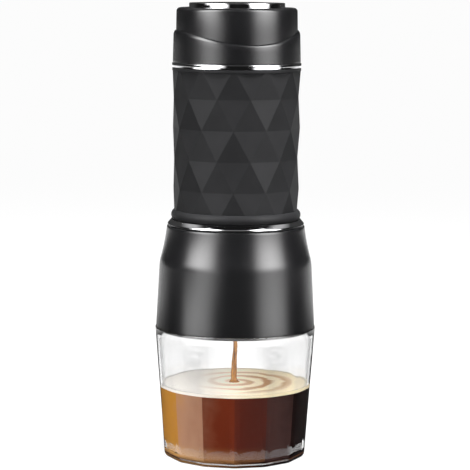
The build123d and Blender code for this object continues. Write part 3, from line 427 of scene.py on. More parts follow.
def seen_white(tree, turn):
    """1 for what the camera sees, straight or through the cup, and 0 for light from aside."""
    behind = round_ramp(tree, turn, (-156, 1), (-138, 0), (138, 0), (156, 1))
    ray = add(tree, "ShaderNodeLightPath")
    through = add(tree, "ShaderNodeMath", {0: ray.outputs["Is Transmission Ray"], 1: behind},
                  operation="MULTIPLY")
    return add(tree, "ShaderNodeMath", {0: ray.outputs["Is Camera Ray"], 1: through.outputs[0]},
               operation="MAXIMUM").outputs[0]


def grain(tree, width, strength, stretch=(1, 1, 1), detail=3):
    """Noise on Object coordinates whose ripples are about width across, and a bump made from it."""
    where = add(tree, "ShaderNodeTexCoord")
    scaled = add(tree, "ShaderNodeMapping", {"Vector": where.outputs["Object"], "Scale": stretch})
    noise = add(tree, "ShaderNodeTexNoise", {
        "Vector": scaled.outputs["Vector"], "Scale": 1 / width, "Detail": detail, "Roughness": 0.55,
    })
    bump = add(tree, "ShaderNodeBump", {
        "Height": noise.outputs["Fac"], "Strength": strength, "Distance": width / 4,
    })
    return noise, bump


def varied(tree, noise, low, high):
    """A value that follows the noise between low and high."""
    return add(tree, "ShaderNodeMapRange", {
        "Value": noise.outputs["Fac"], "From Min": 0.3, "From Max": 0.7,
        "To Min": low, "To Max": high,
    }).outputs["Result"]


# ---- Materials --------------------------------------------------------------------------------
def satin_lacquer(settings):
    """Satin black lacquer over moulded ABS: soft wide highlights with a faint orange peel."""
    material = new_material("satin_lacquer")
    tree = material.node_tree
    noise, bump = grain(tree, settings.ripple, 0.02)
    shader = add(tree, "ShaderNodeBsdfPrincipled", {
        "Base Color": [*settings.lacquer, 1], "IOR": 1.5, "Normal": bump.outputs["Normal"],
        "Roughness": varied(tree, noise, settings.roughness - 0.02, settings.roughness + 0.02),
    })
    return finish_material(material, shader.outputs["BSDF"])


def gloss_black(settings):
    """Gloss black ABS, polished in the mould: sharp reflections over a near black body."""
    material = new_material("gloss_black_abs")
    tree = material.node_tree
    noise, bump = grain(tree, 2.5 * settings.ripple, 0.02)
    shader = add(tree, "ShaderNodeBsdfPrincipled", {
        "Base Color": [*settings.gloss_black, 1], "IOR": 1.5, "Normal": bump.outputs["Normal"],
        "Roughness": varied(tree, noise, 0.16, 0.2),
    })
    return finish_material(material, shader.outputs["BSDF"])


def moulded_rubber(settings):
    """Moulded silicone rubber: a matte body with a fine grain and a weak, wide highlight.

    Real grain is finer; it is drawn as coarse as it needs to show.
    """
    material = new_material("moulded_rubber")
    tree = material.node_tree
    noise, bump = grain(tree, settings.grain, 0.12)
    patch = 30 * settings.grain  # width of the slightly paler and darker patches
    patches = add(tree, "ShaderNodeTexNoise", {
        "Vector": add(tree, "ShaderNodeTexCoord").outputs["Object"],
        "Scale": 1 / patch, "Detail": 2,
    })
    tone = shades(
        add(tree, "ShaderNodeValToRGB", {"Fac": patches.outputs["Fac"]}),
        (0.35, [0.92 * c for c in settings.rubber]), (0.65, [1.08 * c for c in settings.rubber]),
    )
    shader = add(tree, "ShaderNodeBsdfPrincipled", {
        "Base Color": tone.outputs["Color"], "IOR": 1.43, "Normal": bump.outputs["Normal"],
        "Roughness": varied(tree, noise, 0.42, 0.5), "Specular IOR Level": 0.1,
    })
    return finish_material(material, shader.outputs["BSDF"])


def chrome_plate(settings):
    """Chrome plate on a polished ring: mirror bright, with hairlines round the ring."""
    material = new_material("chrome_plate")
    tree = material.node_tree
    hairline = 0.5 * MM  # real ones are finer; these are as coarse as they need to show
    noise, bump = grain(tree, hairline, 0.015, stretch=(0.15, 0.15, 3))
    shader = add(tree, "ShaderNodeBsdfPrincipled", {
        "Base Color": [*settings.chrome, 1], "Metallic": 1.0, "Normal": bump.outputs["Normal"],
        "Roughness": varied(tree, noise, 0.05, 0.09),
    })
    return finish_material(material, shader.outputs["BSDF"])


def satin_stainless(settings):
    """Stainless steel, turned and satin finished: fine lines round each piece."""
    material = new_material("satin_stainless_steel")
    tree = material.node_tree
    line = 0.4 * MM  # real ones are finer; these are as coarse as they need to show
    noise, bump = grain(tree, line, 0.08, stretch=(0.1, 0.1, 2.5))
    tone = shades(
        add(tree, "ShaderNodeValToRGB", {"Fac": noise.outputs["Fac"]}),
        (0.3, [0.82 * c for c in settings.steel]), (0.7, settings.steel),
    )
    shader = add(tree, "ShaderNodeBsdfPrincipled", {
        "Base Color": tone.outputs["Color"], "Metallic": 1.0, "Normal": bump.outputs["Normal"],
        "Roughness": varied(tree, noise, 0.24, 0.36),
    })
    return finish_material(material, shader.outputs["BSDF"])


def moulded_plastic(name, body, width, roughness):
    """Plain moulded plastic or silicone.

    The grain of its mould is finer; it is drawn as coarse as it needs to show.
    """
    material = new_material(name)
    tree = material.node_tree
    noise, bump = grain(tree, width, 0.1)
    tone = shades(
        add(tree, "ShaderNodeValToRGB", {"Fac": noise.outputs["Fac"]}),
        (0.3, [0.9 * c for c in body]), (0.7, body),
    )
    shader = add(tree, "ShaderNodeBsdfPrincipled", {
        "Base Color": tone.outputs["Color"], "IOR": 1.5, "Normal": bump.outputs["Normal"],
        "Roughness": varied(tree, noise, roughness - 0.04, roughness + 0.04),
    })
    return finish_material(material, shader.outputs["BSDF"])


def clear_copolyester(settings):
    """Clear moulded copolyester: colourless face on, with painted grey bands of reflection and a
    painted dark edge.
    """
    material = new_material("clear_copolyester")
    tree = material.node_tree
    ripple = 6 * MM  # faint waves that the flow in the mould leaves
    noise, bump = grain(tree, ripple, 0.02, detail=1)
    slant = add(tree, "ShaderNodeLayerWeight", {"Blend": 0.5})
    tone = shades(  # from face on to edge on: two faint grey bands of painted reflection, then the painted shade of the edge
        add(tree, "ShaderNodeValToRGB", {"Fac": slant.outputs["Facing"]}),
        (0.03, grey(1)), (0.07, grey(0.78)), (0.2, grey(0.78)), (0.3, grey(1)), (0.6, grey(1)),
        (0.69, grey(0.7)), (0.77, grey(0.95)), (0.84, settings.painted_edge_shade),
    )
    shader = add(tree, "ShaderNodeBsdfPrincipled", {
        "Base Color": tone.outputs["Color"], "IOR": 1.54, "Transmission Weight": 1.0,
        "Roughness": varied(tree, noise, 0.0, 0.02), "Normal": bump.outputs["Normal"],
    })
    return finish_material(material, shader.outputs["BSDF"])


def brewed_coffee(settings, cup):
    """Espresso behind clear flats: painted amber on the lit side, flat by flat to almost black on
    the shaded side.
    """
    material = new_material("brewed_coffee")
    tree = material.node_tree
    where = add(tree, "ShaderNodeTexCoord")
    place = add(tree, "ShaderNodeSeparateXYZ", {"Vector": where.outputs["Object"]})
    turn = angle_from_front(tree, place)
    sector = math.tau / cup.side_count
    own_share = 0.65  # how much of the colour belongs to the whole flat; the rest drifts across it
    start = add(tree, "ShaderNodeMath", {0: turn, 1: sector}, operation="SNAP")
    middle = add(tree, "ShaderNodeMath", {0: start.outputs[0], 1: sector / 2}, operation="ADD")
    stepped = add(tree, "ShaderNodeMath", {0: middle.outputs[0], 1: own_share},
                  operation="MULTIPLY")
    drifting = add(tree, "ShaderNodeMath", {0: turn, 1: 1 - own_share, 2: stepped.outputs[0]},
                   operation="MULTIPLY_ADD")
    across = add(tree, "ShaderNodeMath", {0: drifting.outputs[0]}, operation="SINE")
    blotch, shift_range = 14 * MM, 0.2  # the blotches shift the steps of colour within this range
    blotches = add(tree, "ShaderNodeTexNoise", {
        "Vector": where.outputs["Object"], "Scale": 1 / blotch, "Detail": 3, "Distortion": 0.6,
    })
    wander = add(tree, "ShaderNodeMath", {0: blotches.outputs["Fac"], 1: 0.5}, operation="SUBTRACT")
    place_across = add(tree, "ShaderNodeMath", {
        0: wander.outputs[0], 1: shift_range, 2: across.outputs[0],
    }, operation="MULTIPLY_ADD")
    share_across = add(tree, "ShaderNodeMapRange", {
        "Value": place_across.outputs[0], "From Min": -1.0, "From Max": 1.0,
    })
    # Painted light and shade: amber where light would come through on the left, stepped flat by
    # flat to almost black on the shaded right.
    tone = shades(
        add(tree, "ShaderNodeValToRGB", {"Fac": share_across.outputs["Result"]}),
        (0.06, settings.amber), (0.19, settings.tan), (0.38, settings.brown),
        (0.6, settings.deep_brown), (0.81, settings.dusk), (0.94, settings.dark),
    )
    # A painted pool of light at the foot, on the lit side.
    bottom = TABLE + cup.floor
    painted_glow = add(tree, "ShaderNodeMapRange", {
        "Value": place.outputs["Z"], "From Min": bottom, "From Max": bottom + settings.foot_depth,
        "To Min": 0.7, "To Max": 0.0,
    }, interpolation_type="SMOOTHSTEP")
    leftward = add(tree, "ShaderNodeMapRange", {
        "Value": across.outputs[0], "From Min": -0.9, "From Max": 0.5, "To Min": 1.0, "To Max": 0.0,
    })
    share_lit = add(tree, "ShaderNodeMath", {
        0: painted_glow.outputs["Result"], 1: leftward.outputs["Result"],
    }, operation="MULTIPLY")
    lit = add(tree, "ShaderNodeMix", {
        "Factor": share_lit.outputs[0], "A": tone.outputs["Color"], "B": [*settings.foot_light, 1],
    }, data_type="RGBA")
    # The emission is a painted glow.
    shader = add(tree, "ShaderNodeBsdfPrincipled", {
        "Base Color": lit.outputs["Result"], "Roughness": 0.5, "Specular IOR Level": 0.0,
        "Emission Color": lit.outputs["Result"], "Emission Strength": settings.painted_glow,
    })
    return finish_material(material, shader.outputs["BSDF"])


def crema_foam(settings, cup):
    """Crema: pale foam of fine bubbles with caramel swirls drawn out round the stream; its lit side
    is painted paler.
    """
    material = new_material("crema_foam")
    tree = material.node_tree
    where = add(tree, "ShaderNodeTexCoord")
    place = add(tree, "ShaderNodeSeparateXYZ", {"Vector": where.outputs["Object"]})
    flat = add(tree, "ShaderNodeCombineXYZ", {"X": place.outputs["X"], "Y": place.outputs["Y"]})
    out = add(tree, "ShaderNodeVectorMath", {0: flat.outputs["Vector"]}, operation="LENGTH")
    turn = add(tree, "ShaderNodeMath", {0: place.outputs["Y"], 1: place.outputs["X"]},
               operation="ARCTAN2")
    spiral = add(tree, "ShaderNodeMath", {
        0: out.outputs["Value"], 1: math.tau / settings.swirl_gap, 2: turn.outputs[0],
    }, operation="MULTIPLY_ADD")
    bend_width, bend = 16 * MM, 6.0  # the swirls wander over this width, by up to this many radians
    wander = add(tree, "ShaderNodeTexNoise", {
        "Vector": where.outputs["Object"], "Scale": 1 / bend_width, "Detail": 2, "Distortion": 0.8,
    })
    bent = add(tree, "ShaderNodeMath", {0: wander.outputs["Fac"], 1: bend, 2: spiral.outputs[0]},
               operation="MULTIPLY_ADD")
    wave = add(tree, "ShaderNodeMath", {0: bent.outputs[0]}, operation="SINE")
    line = add(tree, "ShaderNodeMapRange", {
        "Value": wave.outputs[0], "From Min": -0.5, "From Max": 0.7,
    })
    swirl_radius, calm_radius = 22 * MM, 30 * MM  # the swirls fade out between these
    inward = add(tree, "ShaderNodeMapRange", {
        "Value": out.outputs["Value"], "From Min": swirl_radius, "From Max": calm_radius,
        "To Min": 1.0, "To Max": 0.0,
    })
    lit_side, shaded_side = -18 * MM, 14 * MM  # pale left of the first, tan right of the second
    rightward = add(tree, "ShaderNodeMapRange", {
        "Value": place.outputs["X"], "From Min": lit_side, "From Max": shaded_side,
    })
    swirls = add(tree, "ShaderNodeMath", {0: line.outputs["Result"], 1: inward.outputs["Result"]},
                 operation="MULTIPLY")
    swirls = add(tree, "ShaderNodeMath", {0: swirls.outputs[0], 1: rightward.outputs["Result"]},
                 operation="MULTIPLY")
    # Painted light and shade: paler foam on the lit side, darker on the shaded side.
    ground = shades(
        add(tree, "ShaderNodeValToRGB", {"Fac": rightward.outputs["Result"]}),
        (0.0, settings.pale_crema), (1.0, settings.crema),
    )
    tone = add(tree, "ShaderNodeMix", {
        "Factor": swirls.outputs[0], "A": ground.outputs["Color"], "B": [*settings.caramel, 1],
    }, data_type="RGBA")
    rim = cup_radius(cup, settings.level) - cup.wall
    edge_start, edge_end, edge_tone = rim - 1.6 * MM, rim - 0.6 * MM, 0.62  # darker at the wall
    edge = add(tree, "ShaderNodeMapRange", {
        "Value": out.outputs["Value"], "From Min": edge_start, "From Max": edge_end,
        "To Min": 1.0, "To Max": edge_tone,
    })
    foam = add(tree, "ShaderNodeVectorMath", {
        0: tone.outputs["Result"], "Scale": edge.outputs["Result"],
    }, operation="SCALE").outputs["Vector"]
    bubble = 0.7 * MM  # the finer ones between them wouldn't show
    noise, bump = grain(tree, bubble, 0.2)
    # The emission is a painted glow.
    shader = add(tree, "ShaderNodeBsdfPrincipled", {
        "Base Color": foam, "IOR": 1.34, "Normal": bump.outputs["Normal"],
        "Roughness": varied(tree, noise, 0.4, 0.55), "Specular IOR Level": 0.1,
        "Emission Color": foam, "Emission Strength": 1.5 * settings.painted_glow,
    })
    return finish_material(material, shader.outputs["BSDF"])


def running_coffee(settings):
    """The stream: glossy thin coffee, darker in streaks along its length."""
    material = new_material("running_coffee")
    tree = material.node_tree
    streak = 0.8 * MM
    noise, bump = grain(tree, streak, 0.2, stretch=(1, 1, 0.2))
    tone = shades(
        add(tree, "ShaderNodeValToRGB", {"Fac": noise.outputs["Fac"]}),
        (0.3, settings.stream_dark), (0.6, settings.stream), (0.8, settings.stream_light),
    )
    # The emission is a painted glow.
    shader = add(tree, "ShaderNodeBsdfPrincipled", {
        "Base Color": tone.outputs["Color"], "IOR": 1.34, "Roughness": 0.18,
        "Normal": bump.outputs["Normal"], "Emission Color": tone.outputs["Color"],
        "Emission Strength": settings.painted_glow,
    })
    return finish_material(material, shader.outputs["BSDF"])


made_materials = {}


def scene_material(name):
    """The material of that slot, made once and then shared."""
    scene = bpy.context.scene
    shell, trim, inside = scene.espresso_shell, scene.espresso_trim, scene.espresso_inside
    makers = {
        "black_shell": lambda: satin_lacquer(shell),
        "black_gloss": lambda: gloss_black(shell),
        "grip_rubber": lambda: moulded_rubber(scene.espresso_grip),
        "bright_trim": lambda: chrome_plate(trim),
        "stainless_steel": lambda: satin_stainless(trim),
        "dark_plastic": lambda: moulded_plastic("black_nylon", inside.nylon, 0.6 * MM, 0.5),
        "bearing_plastic": lambda: moulded_plastic("natural_acetal", inside.acetal, 0.8 * MM, 0.4),
        "seal_rubber": lambda: moulded_plastic("red_silicone", inside.silicone, 0.5 * MM, 0.55),
        "clear_cup": lambda: clear_copolyester(scene.espresso_cup),
        "coffee": lambda: brewed_coffee(scene.espresso_coffee, scene.espresso_cup),
    }
    if name not in made_materials:
        made_materials[name] = makers[name]()
    return made_materials[name]


# ---- Operators --------------------------------------------------------------------------------
class ESPRESSO_OT_stage(bpy.types.Operator):
    """Make the floor, the studio light and the camera"""

    bl_idname = "espresso.stage"
    bl_label = "Stage"

    def execute(self, context):
        settings = context.scene.espresso_stage
        context.scene.view_settings.view_transform = "Standard"
        self.add_floor(settings)
        self.add_world(context.scene, settings)
        self.add_key_lamp(settings)
        self.add_camera(context.scene, settings)
        return {"FINISHED"}

    def add_floor(self, settings):
        """A pale floor that the camera sees as white, with the maker's shadow on it."""
        wide = 30  # metres, so that its edge is never seen
        mesh = bmesh.new()
        bmesh.ops.create_circle(mesh, segments=96, radius=wide, cap_ends=True)
        bmesh.ops.translate(mesh, vec=(0, 0, TABLE), verts=mesh.verts)
        material = new_material("pale_floor")
        tree = material.node_tree
        plain = add(tree, "ShaderNodeBsdfDiffuse", {"Color": [*settings.floor, 1]})
        white_share, white_strength = 0.8, 1.16  # together with the plain share they come to white
        white = add(tree, "ShaderNodeEmission", {"Color": (1, 1, 1, 1), "Strength": white_strength})
        where = add(tree, "ShaderNodeTexCoord")
        place = add(tree, "ShaderNodeSeparateXYZ", {"Vector": where.outputs["Object"]})
        seen = seen_white(tree, round_turn(tree, place))
        amount = add(tree, "ShaderNodeMath", {0: seen, 1: white_share}, operation="MULTIPLY")
        mixed = add(tree, "ShaderNodeMixShader", {
            0: amount.outputs[0], 1: plain.outputs["BSDF"], 2: white.outputs["Emission"],
        })
        finish_material(material, mixed.outputs["Shader"])
        floor = add_piece("floor", mesh, material, None, None)
        floor.visible_glossy = False

    def add_world(self, scene, settings):
        """Plain light all round, a studio for gloss and clear plastic, and white for the camera."""
        world = bpy.data.worlds.new("studio")
        world.use_nodes = True
        world.cycles.sampling_method = "NONE"
        tree = world.node_tree
        tree.nodes.clear()
        direction = add(tree, "ShaderNodeTexCoord")
        parts = add(tree, "ShaderNodeSeparateXYZ", {"Vector": direction.outputs["Generated"]})
        turn = round_turn(tree, parts)
        lit = self.studio_light(tree, turn, parts.outputs["Z"])
        mirrored = add(tree, "ShaderNodeBackground", {"Color": (1, 1, 1, 1), "Strength": lit})
        plain = add(tree, "ShaderNodeBackground", {
            "Color": (1, 1, 1, 1), "Strength": settings.fill,
        })
        white = add(tree, "ShaderNodeBackground", {"Color": (1, 1, 1, 1), "Strength": 1.0})
        ray = add(tree, "ShaderNodeLightPath")
        direct = add(tree, "ShaderNodeMath", {
            0: ray.outputs["Is Glossy Ray"], 1: ray.outputs["Is Transmission Ray"],
        }, operation="MAXIMUM")
        gloss = add(tree, "ShaderNodeMixShader", {
            0: direct.outputs[0], 1: plain.outputs["Background"], 2: mirrored.outputs["Background"],
        })
        mixed = add(tree, "ShaderNodeMixShader", {
            0: seen_white(tree, turn), 1: gloss.outputs["Shader"], 2: white.outputs["Background"],
        })
        add(tree, "ShaderNodeOutputWorld", {"Surface": mixed.outputs["Shader"]})
        scene.world = world

    def studio_light(self, tree, turn, height):
        """What gloss mirrors: two upright softboxes, a ceiling light, a backdrop and a low strip.

        Degrees run round the maker, left negative.  Heights are the upward part of a direction,
        from -1 straight down to 1 straight up.
        """
        def by_height(*stops):
            most = max(value for place, value in stops)
            upward = add(tree, "ShaderNodeMapRange", {
                "Value": height, "From Min": -1.0, "From Max": 1.0,
            })
            node = add(tree, "ShaderNodeValToRGB", {"Fac": upward.outputs["Result"]})
            shades(node, *(((place + 1) / 2, grey(value / most)) for place, value in stops))
            return add(tree, "ShaderNodeMath", {0: node.outputs["Color"], 1: most},
                       operation="MULTIPLY").outputs[0]

        right_box = ((28, 0), (42, 0.75), (57, 1), (72, 0.75), (86, 0))
        left_box = ((-70, 0), (-57, 0.75), (-46, 1), (-35, 0.75), (-18, 0))
        left_box_aside = ((-86, 0), (-74, 0.75), (-60, 1), (-44, 0.75), (-28, 0))
        level = round_ramp(tree, turn, *left_box, *right_box)
        slanted = round_ramp(tree, turn, *left_box_aside, *right_box)
        # Upright walls mirror what is near the horizon; there the left box stands further in.
        near_horizon = by_height((-0.1, 0), (-0.07, 1), (0.1, 1), (0.2, 0))
        softboxes = add(tree, "ShaderNodeMix", {
            "Factor": near_horizon, "A": slanted, "B": level,
        }, data_type="RGBA")
        box_strength = by_height(
            (-0.3, 0), (-0.28, 6.9), (-0.18, 6.9), (-0.08, 4.2), (-0.02, 3.3), (0.06, 3.4),
            (0.16, 10), (0.25, 16), (0.8, 16), (0.9, 0),
        )
        ceiling = by_height((0.55, 0.01), (0.7, 0.5), (0.78, 0.5), (0.86, 0.01))
        lit = add(tree, "ShaderNodeMath", {
            0: softboxes.outputs["Result"], 1: box_strength, 2: ceiling,
        }, operation="MULTIPLY_ADD")
        # The backdrop lights the edges of the brewing head, and the strip the ring under the lid.
        backdrop = round_ramp(tree, turn, (-130, 1), (-108, 0), (112, 0), (134, 1))
        backdrop_strength = by_height((-0.19, 0.04), (-0.155, 1), (-0.09, 1), (-0.05, 0.04))
        strip = round_ramp(tree, turn, (-30, 1), (-20, 0), (24, 0), (34, 1))
        strip_strength = by_height((-0.078, 0), (-0.07, 1), (-0.045, 1), (-0.041, 0))
        for shape, strength in ((backdrop, backdrop_strength), (strip, strip_strength)):
            lit = add(tree, "ShaderNodeMath", {0: shape, 1: strength, 2: lit.outputs[0]},
                      operation="MULTIPLY_ADD")
        return lit.outputs[0]

    def add_key_lamp(self, settings):
        """A soft square lamp above and to the right, in front, that nothing mirrors."""
        lamp = bpy.data.lights.new("key_lamp", "AREA")
        lamp.size = settings.key_size
        lamp.energy = settings.key_power
        lamp.spread = math.radians(60)
        holder = bpy.data.objects.new("key_lamp", lamp)
        holder.location = (0.12, -0.4, 1.5)
        grip_height = 0.12
        aim = Vector((0, 0, grip_height)) - holder.location
        holder.rotation_euler = aim.to_track_quat("-Z", "Y").to_euler()
        holder.visible_camera = False
        holder.visible_glossy = False
        bpy.context.collection.objects.link(holder)

    def add_camera(self, scene, settings):
        """The camera in front, tilted down and turned by a hair."""
        data = bpy.data.cameras.new("camera")
        data.sensor_width = 36
        data.lens = settings.focal_length
        data.shift_x = settings.camera_shift
        camera = bpy.data.objects.new("camera", data)
        camera.location = (0, -settings.camera_distance, settings.camera_height)
        level = Matrix.Rotation(math.pi / 2 - settings.camera_tilt, 4, "X")
        camera.rotation_euler = (level @ Matrix.Rotation(settings.camera_roll, 4, "Z")).to_euler()
        scene.collection.objects.link(camera)
        scene.camera = camera


class ESPRESSO_OT_knob(bpy.types.Operator):
    """Make the pump knob with its bright ring and the disc inside it"""

    bl_idname = "espresso.knob"
    bl_label = "Pump knob"

    def execute(self, context):
        shell, trim = context.scene.espresso_shell, context.scene.espresso_trim
        ring_outer, ring_foot = reach("knob_trim_ring"), foot("knob_trim_ring")
        disc_radius, crown = reach("knob_cap_disc"), top("knob_trim_ring")
        self.add_shell(shell, ring_outer + shell.groove, ring_foot, disc_radius)
        ring_top = crown - shell.disc_rise
        ring = turned([
            (disc_radius, ring_foot), (ring_outer, ring_foot),
            (ring_outer, ring_top, trim.edge_round), (disc_radius, ring_top, trim.edge_round),
        ])
        add_piece("knob_ring", ring, scene_material("bright_trim"), "plunger", "bright_trim",
                  "knob_trim_ring")
        shares = [step / DOME_STEPS for step in range(DOME_STEPS + 1)]
        dome = [(disc_radius * out, crown - shell.disc_rise * out**2) for out in shares]
        disc = turned([*dome, (disc_radius, KNOB_TOP), (0, KNOB_TOP)])
        add_piece("knob_disc", disc, scene_material("black_gloss"), "plunger", "black_gloss",
                  "knob_cap_disc")
        return {"FINISHED"}

    def add_shell(self, shell, groove, groove_foot, disc_radius):
        """The cap: a groove for the ring in its top, a skirt with a bead, and a boss on the rod."""
        outer = reach("pump_knob")
        bore = outer - shell.skirt_wall
        bead, bead_bore = shell.skirt_bead, bore - shell.skirt_bead
        plate_under, boss_foot = KNOB_TOP - PLATE, top("thrust_washer")
        rod_radius, rod_top = reach("pump_rod"), top("pump_rod")
        knob = turned([
            (0, KNOB_TOP), (disc_radius, KNOB_TOP), (disc_radius, groove_foot),
            (groove, groove_foot), (groove, KNOB_TOP, SMALL_EDGE),
            (outer - shell.knob_taper, KNOB_TOP, shell.edge_round), (outer, KNOB_FOOT, SMALL_EDGE),
            (bead_bore, KNOB_FOOT, SMALL_EDGE), (bead_bore, KNOB_FOOT + 2 * bead),
            (bore, KNOB_FOOT + 3 * bead), (bore, plate_under, 2 * SMALL_EDGE),
            (shell.boss_radius, plate_under, 2 * SMALL_EDGE),
            (shell.boss_radius, boss_foot, SMALL_EDGE), (rod_radius, boss_foot),
            (rod_radius, rod_top), (0, rod_top),
        ])
        add_piece("knob_shell", knob, scene_material("black_shell"), "plunger", "black_shell",
                  "pump_knob")


class ESPRESSO_OT_collar(bpy.types.Operator):
    """Make the lid's collar with its wavy edge"""

    bl_idname = "espresso.collar"
    bl_label = "Lid collar"

    def execute(self, context):
        shell = context.scene.espresso_shell
        outer = reach("lid_collar")
        bore = reach("pump_knob") + shell.knob_gap
        seat = LID_FOOT + shell.collar_seat
        shoulder = reach("water_tank")
        middle = LID_FOOT + shell.wave_height
        slope = (outer - bore - shell.collar_edge) / (top("lid_collar") - LID_FOOT)
        side = self.side(outer, LID_FOOT + MM, middle - shell.collar_fall, slope)
        land = 0.1 * MM
        edge, _ = tangent_arc(side[-1], math.pi / 2 + slope, (bore + land, middle), ROUND_STEPS)
        mesh = turned([
            (shoulder, LID_FOOT), (outer, LID_FOOT, 2 * SMALL_EDGE), *side, *edge, (bore, middle),
            (bore, seat), (shoulder, seat),
        ])
        self.raise_wave(mesh, shell, seat, middle)
        add_piece("collar_shell", mesh, scene_material("black_shell"), "lid", "black_shell",
                  "lid_collar")
        return {"FINISHED"}

    def side(self, radius, low, high, slope, count=3):
        """Points up the collar's tapering side."""
        heights = [low + (high - low) * step / count for step in range(count + 1)]
        return [(radius - slope * (height - LID_FOOT), height) for height in heights]

    def raise_wave(self, mesh, shell, seat, middle):
        """Lifts or lowers everything above the seat, most at the edge, twice round the collar."""
        for vert in mesh.verts:
            rise = (vert.co.z - seat) / (middle - seat)
            if rise > 0:
                turn = math.atan2(vert.co.y, vert.co.x) - shell.wave_turn
                vert.co.z += rise * shell.wave_swing * math.cos(2 * turn)


class ESPRESSO_OT_trims(bpy.types.Operator):
    """Make the bright rings above and below the grip"""

    bl_idname = "espresso.trims"
    bl_label = "Trim rings"

    def execute(self, context):
        cut = context.scene.espresso_trim.edge_round
        low, high, outer = foot("top_trim_ring"), top("top_trim_ring"), reach("top_trim_ring")
        bore = reach("water_tank") + PUSH_FIT
        ring = turned([(bore, low), (outer, low, cut), (outer, high, cut), (bore, high)])
        add_piece("upper_ring", ring, scene_material("bright_trim"), "tank", "bright_trim",
                  "top_trim_ring")
        low, high, outer = foot("base_trim_ring"), top("base_trim_ring"), reach("base_trim_ring")
        bore = reach("tank_foot") + PUSH_FIT
        rim = 0.5 * MM  # height of the upright rim under the cone
        cone = turned([
            (bore, low), (outer, low, cut), (outer - SMALL_EDGE / 2, low + rim, cut),
            (bore + SMALL_EDGE, high, SMALL_EDGE / 2), (bore, high),
        ])
        add_piece("lower_ring", cone, scene_material("bright_trim"), "tank", "bright_trim",
                  "base_trim_ring")
        return {"FINISHED"}


